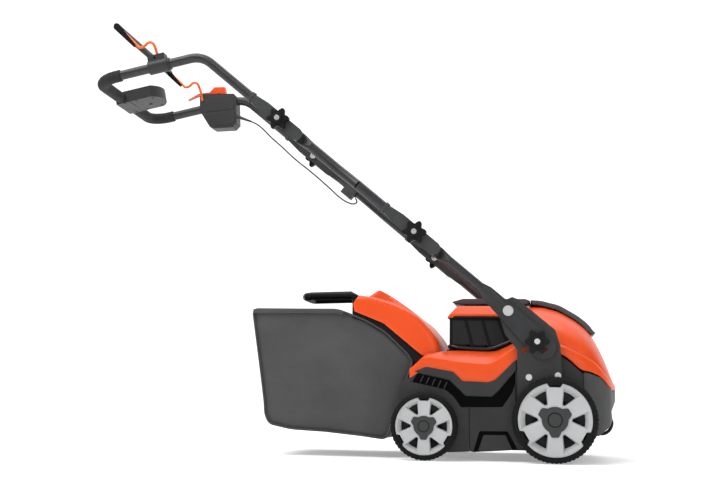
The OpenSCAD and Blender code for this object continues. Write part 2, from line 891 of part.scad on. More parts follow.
module control_box() {
    front_x = -188;
    color(dark)
        at_axle()
            grip_frame()
                difference() {
                    union() {
                        translate([-grip_len - 15, -box_half_w, -18])
                            cube([grip_len + 15 + front_x - 35, 2 * box_half_w, 34]);
                        intersection() {
                            translate([front_x - 75, 0, -18]) cylinder(r = 75, h = 34, $fn = 96);
                            translate([front_x - 40, -box_half_w, -18]) cube([60, 2 * box_half_w, 34]);
                        }
                    }
                    translate([-grip_len, 100, 0])
                        rotate([90, 0, 0]) cylinder(r = tube_r + fit, h = 200);
                }
}

// Clamp on the right tube that holds the bail's right end
module bail_bracket() {
    color(dark)
        at_axle()
            difference() {
                grip_frame()
                    union() {
                        translate([-152, -upper_half_w, 0])
                            rotate([0, 90, 0]) cylinder(r = 19, h = 56);
                        translate([-150, -upper_half_w - 12, 0]) cube([48, 31, 32]);
                        translate([-97, -upper_half_w, 0])
                            rotate([0, 90, 0]) cylinder(r = 17, h = 6);
                    }
                grip_frame()
                    translate([-160, -upper_half_w, 0])
                        rotate([0, 90, 0]) cylinder(r = tube_r + fit, h = 80);
                pin_y(bail_pivot, 3 + fit, 200, 300);
            }
}

switch_outline = [
    [-1087, 1080], [-1080, 1086], [-978, 1084], [-970, 1076], [-965, 990], [-978, 976],
    [-1040, 974], [-1052, 980], [-1086, 1032]
];

module switch_box() {
    color(dark)
        at_axle()
            difference() {
                mirror([0, 1, 0]) right_prism(switch_outline, housing_in_y, 255);
                grip_frame()
                    translate([-180, upper_half_w, 0])
                        rotate([0, 90, 0]) cylinder(r = tube_r + 1.5 * bend_room, h = 220);
                mirror([0, 1, 0]) {
                    pin_y(bail_pivot, 3 + fit, 200, 220);
                    right_prism([[-1095, 1077], [-1095, 1100], [-1005, 1100], [-1005, 1077]],
                        220.5, 241.5);
                }
                mirror([0, 1, 0]) pin_y(lever_pivot, 3.5, 212, 250);
            }
}

module start_lever() {
    color(orange)
        at_axle()
            mirror([0, 1, 0]) {
                right_prism([
                    [-1131, 1071], [-1096, 1090], [-1060, 1094], [-1045, 1110], [-1012, 1110],
                    [-1007, 1088], [-1046, 1087.5], [-1090, 1087.5]
                ], 222, 240);
                pin_y(lever_pivot, 3, 213, 249);
            }
}

module strain_relief() {
    color(black)
        at_axle()
            hull() {
                translate([-966, 214, 1012]) rotate([0, 112, 0]) cylinder(r = 6, h = 1, $fn = 24);
                translate([-922, 214, 995]) rotate([0, 112, 0]) cylinder(r = 3.2, h = 1, $fn = 24);
            }
}

// ---------- bail ----------
bail_bar = [-1204, 1174];
bail_side = [bail_pivot, [-1083, 1090], [-1094, 1116], [-1108, 1121], [-1122, 1110],
    [-1134, 1108], [-1144, 1116], bail_bar];

module bail_line(r) {
    both_sides() {
        swept(smooth_route([for (p = bail_side) [p[0], -bail_y, p[1]]]), r);
        pin_y(bail_pivot, r, bail_y - 3, bail_y + 10);
    }
    pin_y(bail_bar, r, -bail_y - 3, bail_y + 3);
}

module bail_wire() color(orange) at_axle() bail_line(3);

// Plastic moulded over the wire's ends and bar
module bail_grip() {
    arm = [[-1144, 1114], [-1152, 1110], [-1212, 1165], [-1212, 1176], [-1205, 1180],
        [-1198, 1178]];
    bar = [[-1212, 1165], [-1212, 1176], [-1205, 1180], [-1198, 1178], [-1180, 1160],
        [-1180, 1151], [-1188, 1145], [-1196, 1150]];
    color(black)
        at_axle() {
            side_prism(bar, bail_y + 5);
            both_sides() right_prism(arm, bail_y - 8, bail_y + 5);
        }
}

// ---------- knobs ----------
module knob_form() {
    lobes = 6;
    steps = 72;
    color(black)
        difference() {
            union() {
                linear_extrude(14)
                    polygon([
                        for (i = [0:steps - 1])
                            let (a = 360 * i / steps, r = 26 + 5 * cos(lobes * a))
                                [r * cos(a), r * sin(a)]
                    ]);
                cylinder(r = 13, h = knob_t - 0.2);
            }
            translate([0, 0, -1]) cylinder(r = 4 + fit, h = knob_t + 2);
        }
}

module knob_at(at, y, left) {
    at_axle()
        mirror([0, left ? 1 : 0, 0])
            translate([at[0], -y - 0.1, at[1]]) rotate([90, 0, 0]) knob_form();
}

upper_knob_y = upper_half_w + gap / 2 + tongue_t + sleeve_t;
middle_knob_y = lower_half_w + gap / 2 + tongue_t + sleeve_t;
bracket_knob_y = bracket_y + gap + arm_plate_t;

module right_upper_knob() knob_at(joint_top, upper_knob_y, false);
module left_upper_knob() knob_at(joint_top, upper_knob_y, true);
module right_middle_knob() knob_at(joint_low, middle_knob_y, false);
module left_middle_knob() knob_at(joint_low, middle_knob_y, true);
module right_bracket_knob() knob_at(lock_point(lock_angles[0]), bracket_knob_y, false);
module left_bracket_knob() knob_at(lock_point(lock_angles[0]), bracket_knob_y, true);

// ---------- cable ----------
cable_r = 2.2;
clamp_at = 161;   // along the middle tube from the upper joint

module cable_clamp() {
    color(dark)
        at_axle()
            arm_frame(joint_top)
                difference() {
                    union() {
                        translate([clamp_at - 22, upper_half_w, 0])
                            rotate([0, 90, 0]) cylinder(r = tube_r + 3, h = 44);
                        translate([clamp_at - 20, upper_half_w - 24, -30]) cube([40, 20, 30]);
                    }
                    translate([clamp_at - 30, upper_half_w, 0])
                        rotate([0, 90, 0]) cylinder(r = tube_r + fit, h = 60);
                }
}

// A tube swept along a list of points, closed at both ends
module swept(pts, r, sides = 8, ref = [0, 1, 0]) {
    n = len(pts);
    function dir(i) = let (d = pts[min(i + 1, n - 1)] - pts[max(i - 1, 0)]) d / norm(d);
    rings = [
        for (i = [0:n - 1])
            let (d = dir(i), u = ref - d * (d * ref), v = u / norm(u), w = cross(d, v))
                for (k = [0:sides - 1])
                    pts[i] + r * (cos(360 * k / sides) * v + sin(360 * k / sides) * w)
    ];
    quads = [
        for (i = [0:n - 2], k = [0:sides - 1])
            let (a = i * sides + k, b = i * sides + (k + 1) % sides)
                [a, a + sides, b + sides, b]
    ];
    polyhedron(points = rings, faces = concat(
        [[for (k = [0:sides - 1]) k]],
        [[for (k = [sides - 1:-1:0]) (n - 1) * sides + k]],
        quads
    ));
}

// Points of the hanging lead between the strain relief and the clamp, as [x, y, z]
lead_route = [
    [-921, 214, 994.6], [-908, 214, 989], [-894, 213, 980], [-880, 212, 968], [-866, 211, 954],
    [-852, 210, 940], [-836, 209, 926], [-820, 208, 912], [-804, 208, 897], [-788, 207, 882],
    [-772, 207, 868], [-755, 206, 854], [-738, 206, 841], [-720, 206, 826], [-702, 206, 811],
    [-684, 206, 795], [-666, 206, 779], [-650, 206, 764], [-634, 207, 750], [-618, 208, 739],
    [-602, 210, 732], [-590, 212, 731], [-583, 213, 736], [-584, 214, 743], [-588, 214, 748.5]
];

function smooth_point(p, i, t) =
    let (a = p[max(i - 1, 0)], b = p[i], c = p[i + 1], d = p[min(i + 2, len(p) - 1)])
        0.5 * (2 * b + (c - a) * t + (2 * a - 5 * b + 4 * c - d) * t * t
            + (3 * b - a - 3 * c + d) * t * t * t);

function smooth_route(p) = concat(
    [for (i = [0:len(p) - 2], t = [0, 0.5]) smooth_point(p, i, t)], [p[len(p) - 1]]);

module signal_cable() color(black) at_axle() swept(smooth_route(lead_route), cable_r);

// The lead clipped along the middle tube, from the clamp to the lower joint's axis
module clipped_cable() {
    y_top = upper_half_w - tube_r - cable_r - 0.2;
    y_low = lower_half_w - tube_r - cable_r - 6;
    route = [
        [clamp_at + 20.2, y_top - 1, -8], [clamp_at + 35, y_top - 1, -8],
        [shift_at[0] - 5, y_top - 1, -8], [shift_at[1] - 5, y_low - 1, -8],
        [middle_len - 90, y_low - 1, -6], [middle_len - 40, y_low - 2, 0], [middle_len, y_low - 4, 0]
    ];
    color(black) at_axle() arm_frame(joint_top) swept(smooth_route(route), cable_r);
}

// ---------- grass bag ----------
bag_outer = [
    [-793, 382], [-754, 131], [-752, 103], [-740, 78], [-680, 65], [-585, 60], [-493, 52],
    [-424, 44], [-357, 244], [-369, 264], [-430, 322], [-483, 354], [-527, 371], [-560, 383]
];
bag_inner = [
    [-789, 378], [-751, 131], [-749, 104], [-738, 81], [-680, 68.5], [-585, 63.5], [-493, 55.5],
    [-427, 48], [-361, 243], [-372, 262], [-432, 319], [-485, 350], [-528, 367.5], [-561, 379]
];

module bag_fabric() {
    color("#47484a")
        at_axle()
            difference() {
                side_prism(bag_outer, bag_half_w);
                side_prism(bag_inner, bag_half_w - bag_wall);
                translate([-420, -120, 112]) cube([80, 240, 130]);
            }
}

// Hard frame round the bag's front edge, with the carrying handle on top
module bag_frame() {
    handle_y = 60;
    handle_side = [
        [-533, -handle_y, 378], [-533, -handle_y, 412], [-537, -handle_y, 423],
        [-548, -handle_y, 429], [-660, -handle_y, 426], [-671, 5 - handle_y, 425],
        [-676, 16 - handle_y, 425]
    ];
    n = len(handle_side);
    color(black)
        at_axle() {
            difference() {
                side_prism([[-481, 355.4], [-440, 341], [-341, 260], [-340, 246], [-355.5, 245],
                    [-368, 265.4], [-429, 323.4]], bag_half_w - 5);
                side_prism([[-445, 300], [-445, 360], [-360, 300], [-352, 230]], bag_half_w - 30);
            }
            swept(concat(handle_side, [for (i = [n - 1:-1:0])
                [handle_side[i][0], -handle_side[i][1], handle_side[i][2]]]), 11, 16,
                [0.3, 0, 1]);
        }
}

deck_shell();
side_cowl();
front_hood();
top_cap();
vent_housing();
hood_strip();
front_bumper();
side_brackets();
bracket_screws();
discharge_chute();
motor_housing();
battery_bay();
battery_pack();
hinge_pins();
flap_spring();
wheel_axles();
motor_shaft();
blade_adapter();
blade();
blade_bolt();
front_right_tyre();
front_right_rim();
front_right_cap();
front_left_tyre();
front_left_rim();
front_left_cap();
rear_right_tyre();
rear_right_rim();
rear_right_cap();
rear_left_tyre();
rear_left_rim();
rear_left_cap();
battery_lid();
rear_flap();
lower_arms();
lower_bolts();
middle_tubes();
middle_sleeves();
middle_bolts();
cable_clamp();
handle_loop();
upper_sleeves();
foam_grips();
control_box();
bail_bracket();
switch_box();
strain_relief();
signal_cable();
clipped_cable();
bail_wire();
bail_grip();
start_lever();
right_upper_knob();
left_upper_knob();
right_middle_knob();
left_middle_knob();
right_bracket_knob();
left_bracket_knob();
bag_fabric();
bag_frame();
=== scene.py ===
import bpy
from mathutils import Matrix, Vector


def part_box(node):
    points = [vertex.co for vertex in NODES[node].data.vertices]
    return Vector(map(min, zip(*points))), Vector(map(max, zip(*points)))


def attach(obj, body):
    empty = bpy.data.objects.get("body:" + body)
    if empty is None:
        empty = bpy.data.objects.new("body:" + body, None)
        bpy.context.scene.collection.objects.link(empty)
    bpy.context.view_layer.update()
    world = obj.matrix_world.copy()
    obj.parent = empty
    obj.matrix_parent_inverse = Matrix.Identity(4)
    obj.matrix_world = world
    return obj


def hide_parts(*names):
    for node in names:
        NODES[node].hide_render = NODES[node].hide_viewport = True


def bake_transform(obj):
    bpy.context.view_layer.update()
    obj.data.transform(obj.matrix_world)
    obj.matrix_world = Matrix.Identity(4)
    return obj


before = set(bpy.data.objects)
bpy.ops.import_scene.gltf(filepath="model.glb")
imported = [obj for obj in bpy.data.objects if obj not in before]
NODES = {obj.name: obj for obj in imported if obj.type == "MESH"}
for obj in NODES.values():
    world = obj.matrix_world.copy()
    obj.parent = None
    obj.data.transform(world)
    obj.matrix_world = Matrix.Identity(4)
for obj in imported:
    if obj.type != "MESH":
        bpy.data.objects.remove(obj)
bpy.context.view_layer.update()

import math

import bmesh
import bpy
from mathutils import Matrix, Vector, noise

SCENE = bpy.context.scene

# The design is drawn with the front axle at X = 0, in millimetres.
_tyre_lo, _tyre_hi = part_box("front_right_tyre")
AXLE_X = round((_tyre_lo.x + _tyre_hi.x) / 2, 4)


def P(x, y, z):
    """A design point in millimetres from the front axle, as metres in the part's frame."""
    return Vector((x / 1000 + AXLE_X, y / 1000, z / 1000))


def new_object(name, data):
    obj = bpy.data.objects.new(name, data)
    SCENE.collection.objects.link(obj)
    return obj


# ---- camera

def add_camera():
    # at the photograph's viewing angle: low, a little behind, turned slightly forwards and up
    data = bpy.data.cameras.new("photo_camera")
    data.lens = 56.3
    data.sensor_width = 36
    cam = new_object("photo_camera", data)
    forward = Vector((-0.16134, 0.97723, 0.13795)).normalized()
    down = Vector((-0.00568, 0.13886, -0.99030))
    right = down.cross(forward).normalized()
    up = right.cross(forward).normalized()
    pos = P(-24, -3100, 153)
    cam.matrix_world = Matrix((
        (right.x, up.x, -forward.x, pos.x),
        (right.y, up.y, -forward.y, pos.y),
        (right.z, up.z, -forward.z, pos.z),
        (0, 0, 0, 1),
    ))
    SCENE.camera = cam


add_camera()


# ---- mesh helpers

SIDES = ((-1, "right"), (1, "left"))
SHARP = math.radians(32)   # edges that meet at more than this are shaded sharp and rounded off
MERGE = 0.00002            # points closer than this are one point


def clean_mesh(mesh, merge=0):
    """Joins points closer than merge and turns the faces outwards."""
    bm = bmesh.new()
    bm.from_mesh(mesh)
    if merge:
        bmesh.ops.remove_doubles(bm, verts=bm.verts, dist=merge)
    bmesh.ops.recalc_face_normals(bm, faces=bm.faces)
    bm.to_mesh(mesh)
    bm.free()


def make(name, verts, faces, key, body, slot=None, smooth=True):
    """A mesh piece from points in metres, of material M[key], riding on a body."""
    mesh = bpy.data.meshes.new(name)
    mesh.from_pydata([tuple(v) for v in verts], [], faces)
    mesh.validate()
    obj = new_object(name, mesh)
    clean_mesh(mesh)
    for f in mesh.polygons:
        f.use_smooth = smooth
    mesh.materials.append(M[key])
    if body:
        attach(obj, body)
    return obj


def grid_faces(rows, cols, wrap_cols=False, wrap_rows=False):
    out = []
    for i in range(rows if wrap_rows else rows - 1):
        for j in range(cols if wrap_cols else cols - 1):
            a = i * cols + j
            b = i * cols + (j + 1) % cols
            c = ((i + 1) % rows) * cols + (j + 1) % cols
            d = ((i + 1) % rows) * cols + j
            out.append((a, b, c, d))
    return out


def prism(name, outline, y0, y1, key, body, slot, bevel):
    """A flat-sided block: an outline of (x, z) in mm between two values of y."""
    n = len(outline)
    verts = [P(x, y, z) for y in (y0, y1) for x, z in outline]
    faces = [tuple(range(n)), tuple(range(2 * n - 1, n - 1, -1))]
    faces += [(k, k + n, (k + 1) % n + n, (k + 1) % n) for k in range(n)]
    obj = make(name, verts, faces, key, body, slot, smooth=False)
    mod(obj, "BEVEL", width=bevel, segments=2)


def apply_mods(obj):
    bpy.context.view_layer.update()
    dg = bpy.context.evaluated_depsgraph_get()
    mesh = bpy.data.meshes.new_from_object(obj.evaluated_get(dg))
    old = obj.data
    obj.modifiers.clear()
    obj.data = mesh
    bpy.data.meshes.remove(old)
    return obj


def mod(obj, kind, **values):
    m = obj.modifiers.new(kind.lower(), kind)
    for key, value in values.items():
        setattr(m, key, value)
    return m


def sweep_points(path, radius, sides=16, caps=True):
    """Vertices and faces of a round tube along points; radius may be a list."""
    pts = [Vector(p) for p in path]
    n = len(pts)
    radii = radius if hasattr(radius, "__len__") else [radius] * n
    tangents = []
    for i in range(n):
        d = pts[min(i + 1, n - 1)] - pts[max(i - 1, 0)]
        tangents.append(d.normalized())
    ref = Vector((0, 0, 1)) if abs(tangents[0].z) < 0.9 else Vector((1, 0, 0))
    u = (ref - tangents[0] * ref.dot(tangents[0])).normalized()
    verts = []
    for i in range(n):
        t = tangents[i]
        u = (u - t * u.dot(t)).normalized()
        w = t.cross(u)
        for k in range(sides):
            a = 2 * math.pi * k / sides
            verts.append(pts[i] + radii[i] * (math.cos(a) * u + math.sin(a) * w))
    faces = grid_faces(n, sides, wrap_cols=True)
    if caps:
        faces.append(tuple(range(sides - 1, -1, -1)))
        faces.append(tuple((n - 1) * sides + k for k in range(sides)))
    return verts, faces


def rod(name, a, b, radius, sides, key, body, slot):
    """A round bar between two points."""
    return make(name, *sweep_points([a, b], radius, sides), key, body, slot)


def catmull(points, per=6):
    """A smooth curve through points."""
    pts = [Vector(p) for p in points]
    out = []
    for i in range(len(pts) - 1):
        a, b, c, d = pts[max(i - 1, 0)], pts[i], pts[i + 1], pts[min(i + 2, len(pts) - 1)]
        for k in range(per):
            t = k / per
            out.append(0.5 * (2 * b + (c - a) * t + (2 * a - 5 * b + 4 * c - d) * t * t
                              + (3 * b - a - 3 * c + d) * t ** 3))
    out.append(pts[-1])
    return out


def along(points, s):
    """The point at fraction s of a polyline's length."""
    pts = [Vector(p) for p in points]
    seg = [(pts[i + 1] - pts[i]).length for i in range(len(pts) - 1)]
    goal = s * sum(seg)
    for i, length in enumerate(seg):
        if goal <= length or i == len(seg) - 1:
            return pts[i].lerp(pts[i + 1], min(goal / length, 1.0) if length else 0)
        goal -= length


def lerp_table(table, x):
    """Linear interpolation in a list of (x, value), sorted by x."""
    if x <= table[0][0]:
        return table[0][1]
    for (x0, v0), (x1, v1) in zip(table, table[1:]):
        if x <= x1:
            return v0 + (v1 - v0) * (x - x0) / (x1 - x0)
    return table[-1][1]


def smooth_table(table, x, reach):
    """The table's value averaged over a window, which rounds its corners."""
    return sum(lerp_table(table, x + reach * k / 4) for k in range(-4, 5)) / 9


def clamp(v):
    return min(max(v, 0), 1)


def ease(v):
    """A smooth step from 0 to 1."""
    v = clamp(v)
    return v * v * (3 - 2 * v)


def arc(r, start, sweep, steps):
    """Points of an arc about the origin, without its two ends."""
    angles = [start + sweep * i / steps for i in range(1, steps)]
    return [(r * math.cos(a), r * math.sin(a)) for a in angles]


def circle(r, count=96):
    angles = [2 * math.pi * i / count for i in range(count)]
    return [(r * math.cos(a), r * math.sin(a)) for a in angles]


# ---- materials

def new_material(name):
    """A material with its node tree and its Principled shader."""
    mat = bpy.data.materials.new(name)
    mat.use_nodes = True
    return mat, mat.node_tree, mat.node_tree.nodes["Principled BSDF"]


def object_coord(nt):
    return nt.nodes.new("ShaderNodeTexCoord").outputs["Object"]


def link(nt, a, b):
    nt.links.new(a, b)


def put(node, **values):
    """Sets a node's input constants, with _ for each space in a socket's name."""
    for key, value in values.items():
        node.inputs[key.replace("_", " ")].default_value = value


def noise_node(nt, coord, scale, detail=4, rough=0.55):
    n = nt.nodes.new("ShaderNodeTexNoise")
    put(n, Scale=scale, Detail=detail, Roughness=rough)
    link(nt, coord, n.inputs["Vector"])
    return n.outputs["Fac"]


def ramp(nt, source, stops):
    r = nt.nodes.new("ShaderNodeValToRGB")
    el = r.color_ramp.elements
    while len(el) < len(stops):
        el.new(0.5)
    for e, (pos, col) in zip(el, stops):
        e.position = pos
        e.color = (*col, 1)
    link(nt, source, r.inputs["Fac"])
    return r.outputs["Color"]


def map_range(nt, source, lo, hi):
    m = nt.nodes.new("ShaderNodeMapRange")
    put(m, To_Min=lo, To_Max=hi)
    link(nt, source, m.inputs["Value"])
    return m.outputs["Result"]


def bump_node(nt, bsdf, height, strength, distance):
    """Bumps the shader's normal by a height socket."""
    b = nt.nodes.new("ShaderNodeBump")
    put(b, Strength=strength, Distance=distance)
    link(nt, height, b.inputs["Height"])
    link(nt, b.outputs["Normal"], bsdf.inputs["Normal"])


def rough_node(nt, bsdf, source, lo, hi):
    """Roughness that follows a source between two values."""
    link(nt, map_range(nt, source, lo, hi), bsdf.inputs["Roughness"])


def scaled(col, k):
    return tuple(min(c * k, 1.0) for c in col)


def edge_wear_and_highlight(nt, base, wear_and_highlight_colour, amount):
    """Mixes a paler colour in along convex edges: partly wear, partly a painted highlight on the
    creases.
    """
    geo = nt.nodes.new("ShaderNodeNewGeometry")
    edge = ramp(nt, geo.outputs["Pointiness"], [(0.50, (0, 0, 0)), (0.56, (amount,) * 3)])
    mix = nt.nodes.new("ShaderNodeMix")
    mix.data_type = "RGBA"
    link(nt, edge, mix.inputs["Factor"])
    link(nt, base, mix.inputs[6])
    mix.inputs[7].default_value = (*wear_and_highlight_colour, 1)
    return mix.outputs[2]


def plastic(name, col, rough=0.45, grain=1500, bump=0.06, vary=0.10, spec=0.22, wear_and_highlight=0.25):
    """Moulded plastic: fine spark-eroded grain, patchy sheen, slightly paler edges that are partly
    worn and partly a painted highlight.
    """
    mat, nt, bsdf = new_material(name)
    coord = object_coord(nt)
    broad = noise_node(nt, coord, 9, 3)
    tone = ramp(nt, broad, [(0.35, scaled(col, 1 - vary)), (0.65, scaled(col, 1 + vary))])
    wear_and_highlight_colour = edge_wear_and_highlight(nt, tone, scaled(col, 1.5), wear_and_highlight)
    link(nt, wear_and_highlight_colour, bsdf.inputs["Base Color"])
    fine = noise_node(nt, coord, grain, 2)
    patch = noise_node(nt, coord, 26, 5)
    rough_node(nt, bsdf, patch, rough - 0.07, rough + 0.09)
    bump_node(nt, bsdf, fine, bump, 0.0006)
    put(bsdf, Specular_IOR_Level=spec)
    return mat


def metal(name, col, rough=0.3):
    """Plated or brushed metal with fine streaks."""
    mat, nt, bsdf = new_material(name)
    coord = object_coord(nt)
    mapping = nt.nodes.new("ShaderNodeMapping")
    put(mapping, Scale=(1, 9, 1))
    link(nt, coord, mapping.inputs["Vector"])
    streak = noise_node(nt, mapping.outputs["Vector"], 260, 4)
    blotch = noise_node(nt, coord, 60, 4)
    tone = ramp(nt, blotch, [(0.3, scaled(col, 0.86)), (0.7, scaled(col, 1.06))])
    link(nt, tone, bsdf.inputs["Base Color"])
    put(bsdf, Metallic=1.0)
    rough_node(nt, bsdf, streak, rough - 0.08, rough + 0.12)
    bump_node(nt, bsdf, streak, 0.05, 0.0004)
    return mat


def powder_coat(name, col, rough=0.38):
    """Painted tube: orange-peel bump, semi-gloss, chips of paler undercoat along edges."""
    mat, nt, bsdf = new_material(name)
    coord = object_coord(nt)
    peel = noise_node(nt, coord, 620, 3)
    dust = noise_node(nt, coord, 34, 6)
    tone = ramp(nt, dust, [(0.38, scaled(col, 0.9)), (0.68, scaled(col, 1.18))])
    wear_and_highlight_colour = edge_wear_and_highlight(nt, tone, scaled(col, 2.2), 0.3)
    link(nt, wear_and_highlight_colour, bsdf.inputs["Base Color"])
    put(bsdf, Metallic=0.40)
    rough_node(nt, bsdf, dust, rough - 0.05, rough + 0.08)
    bump_node(nt, bsdf, peel, 0.10, 0.0005)
    return mat


def rubbery(name, col, rough, scale, bump, spec=0.5):
    """Foam or rubber: small pores, dull surface."""
    mat, nt, bsdf = new_material(name)
    coord = object_coord(nt)
    pores = nt.nodes.new("ShaderNodeTexVoronoi")
    put(pores, Scale=scale)
    link(nt, coord, pores.inputs["Vector"])
    soft = noise_node(nt, coord, 30, 5)
    tone = ramp(nt, soft, [(0.35, scaled(col, 0.8)), (0.7, scaled(col, 1.3))])
    link(nt, tone, bsdf.inputs["Base Color"])
    rough_node(nt, bsdf, soft, rough - 0.08, rough + 0.08)
    put(bsdf, Specular_IOR_Level=spec)
    bump_node(nt, bsdf, pores.outputs["Distance"], bump, 0.0005)
    return mat


def woven(name, col, thread=1.9):
    """Coarse woven polyester: vertical ribs crossed by weft, sheen, uneven fading."""
    mat, nt, bsdf = new_material(name)
    coord = object_coord(nt)

    def wave(axis, scale):
        w = nt.nodes.new("ShaderNodeTexWave")
        w.wave_type = "BANDS"
        w.bands_direction = axis
        put(w, Scale=scale, Distortion=0.5, Detail=1.5)
        link(nt, coord, w.inputs["Vector"])
        return w.outputs["Fac"]

    def math_node(operation, *sources):
        n = nt.nodes.new("ShaderNodeMath")
        n.operation = operation
        for socket, source in zip(n.inputs, sources):
            if isinstance(source, float):
                socket.default_value = source
            else:
                link(nt, source, socket)
        return n.outputs["Value"]

    scale = 1000 / thread / 6.28
    warp, weft, depth = wave("X", scale), wave("Z", scale * 0.8), wave("Y", scale)
    rib = math_node("MAXIMUM", warp, weft)
    dim = map_range(nt, depth, 0.75, 1.0)
    weave = math_node("MULTIPLY", rib, dim)
    fade = noise_node(nt, coord, 7, 5, 0.6)
    fluff = noise_node(nt, coord, 240, 3)
    mixed = math_node("MULTIPLY_ADD", weave, 0.30, fade)
    tone = ramp(nt, mixed, [(0.30, scaled(col, 0.72)), (0.62, col), (0.95, scaled(col, 1.35))])
    link(nt, tone, bsdf.inputs["Base Color"])
    rough_node(nt, bsdf, fluff, 0.78, 0.95)
    put(bsdf, Sheen_Weight=0.25, Sheen_Roughness=0.5)
    bump_node(nt, bsdf, weave, 0.35, 0.0006)
    return mat


ORANGE = (0.74, 0.066, 0.002)
DARK = (0.030, 0.0305, 0.0315)
BLACK = (0.0085, 0.0088, 0.0092)

M = {
    # orange: its paler edges paint the light crease along the hood, cowl and flap shoulders as
    # well as wear
    "orange": plastic("orange_gloss", ORANGE, rough=0.36, grain=900, bump=0.02, vary=0.04,
                      wear_and_highlight=0.30, spec=0.36),
    "deck": plastic("deck_plastic", DARK, rough=0.50, grain=1300, bump=0.12, vary=0.14),
    # lid and crown strip: the dark cover plastic made twice as light, painted light for their
    # top-lit faces
    "lid": plastic("lid_plastic_painted_toplight", scaled(DARK, 2.0), rough=0.40, grain=1600, bump=0.08, spec=0.3),
    "dark": plastic("cover_plastic", DARK, rough=0.42, grain=1600, bump=0.08),
    "black": plastic("black_plastic", scaled(BLACK, 0.6), rough=0.34, grain=1600, bump=0.05,
                     spec=0.16),
    "bumper": plastic("bumper_plastic", (0.060, 0.061, 0.063), rough=0.52, bump=0.14),
    "bracket": plastic("bracket_plastic", scaled(DARK, 1.05), rough=0.50, bump=0.12),
    "sleeve": plastic("sleeve_plastic", scaled(DARK, 1.35), rough=0.48, bump=0.10),
    "tube": powder_coat("tube_paint", (0.024, 0.0245, 0.026)),
    "bail": powder_coat("bail_paint", (0.80, 0.11, 0.015), rough=0.33),
    # recess floors: black plastic darkened far below the other blacks and kept from reflecting,
    # painted shade in the recesses
    "pit_painted_shade": plastic("recess_black_painted_shade", scaled(BLACK, 0.2), rough=0.6, bump=0.05, spec=0.04),
    "zinc": metal("zinc_plating", (0.66, 0.66, 0.65), rough=0.33),
    "steel": metal("bright_steel", (0.50, 0.50, 0.51), rough=0.35),
    "cast": metal("cast_aluminium", (0.40, 0.41, 0.42), rough=0.5),
    "blade": powder_coat("blade_paint", (0.055, 0.056, 0.058), rough=0.45),
    "rim": plastic("rim_plastic", (0.43, 0.435, 0.44), rough=0.42, grain=1100, bump=0.06,
                   vary=0.05, wear_and_highlight=0.1),
    "cap": plastic("hub_cap_plastic", scaled(DARK, 1.25), rough=0.46, bump=0.10),
    "tyre": rubbery("tyre_rubber", (0.006, 0.006, 0.0063), rough=0.78, scale=260, bump=0.12,
                    spec=0.16),
    "foam": rubbery("foam_grip", (0.011, 0.011, 0.0115), rough=0.88, scale=900, bump=0.5),
    "cable": rubbery("cable_sheath", (0.014, 0.014, 0.015), rough=0.5, scale=500, bump=0.05),
    "fabric": woven("bag_weave", (0.047, 0.0475, 0.049)),
    "binding": woven("bag_binding", (0.034, 0.0345, 0.0355), thread=1.2),
    "knob": plastic("knob_plastic", scaled(BLACK, 0.8), rough=0.44, bump=0.12, spec=0.16),
    "gloss": plastic("black_gloss", scaled(BLACK, 1.1), rough=0.20, grain=900, bump=0.02,
                     spec=0.5),
    "vent": plastic("vent_plastic", scaled(BLACK, 1.5), rough=0.42, bump=0.05),
}


# ---- kept CAD nodes

def rounding_group():
    """Joins a CAD mesh's faces and shades it smooth, sharp where faces meet at an angle."""
    g = bpy.data.node_groups.new("smooth_by_angle", "GeometryNodeTree")
    for way in ("INPUT", "OUTPUT"):
        g.interface.new_socket("Geometry", in_out=way, socket_type="NodeSocketGeometry")
    chain = [g.nodes.new(kind) for kind in (
        "NodeGroupInput", "GeometryNodeMergeByDistance", "GeometryNodeSetShadeSmooth",
        "GeometryNodeSetShadeSmooth", "GeometryNodeSetMeshNormal", "NodeGroupOutput")]
    _, merge, _, edges, free, _ = chain
    put(merge, Distance=MERGE)
    edges.domain = "EDGE"
    free.mode = "SHARPNESS"
    put(free, Remove_Custom=True)
    for a, b in zip(chain, chain[1:]):
        g.links.new(a.outputs[0], b.inputs[0])
    angle = g.nodes.new("GeometryNodeInputMeshEdgeAngle")
    less = g.nodes.new("FunctionNodeCompare")
    less.operation = "LESS_THAN"
    less.inputs[1].default_value = SHARP
    g.links.new(angle.outputs["Unsigned Angle"], less.inputs[0])
    g.links.new(less.outputs["Result"], edges.inputs["Shade Smooth"])
    return g


ROUND = rounding_group()


def smooth_faces(obj):
    obj.modifiers.new("smooth", "NODES").node_group = ROUND


def finish_node(node, key, bevel, segments=2):
    """Gives a CAD node its material and rounds its edges."""
    obj = NODES[node]
    if len(obj.data.materials):
        obj.data.materials[0] = M[key]
    else:
        obj.data.materials.append(M[key])
    smooth_faces(obj)
    if bevel:
        mod(obj, "BEVEL", width=bevel, segments=segments, limit_method="ANGLE",
            angle_limit=SHARP, harden_normals=False, use_clamp_overlap=True)
    mod(obj, "WEIGHTED_NORMAL", keep_sharp=True, weight=90)


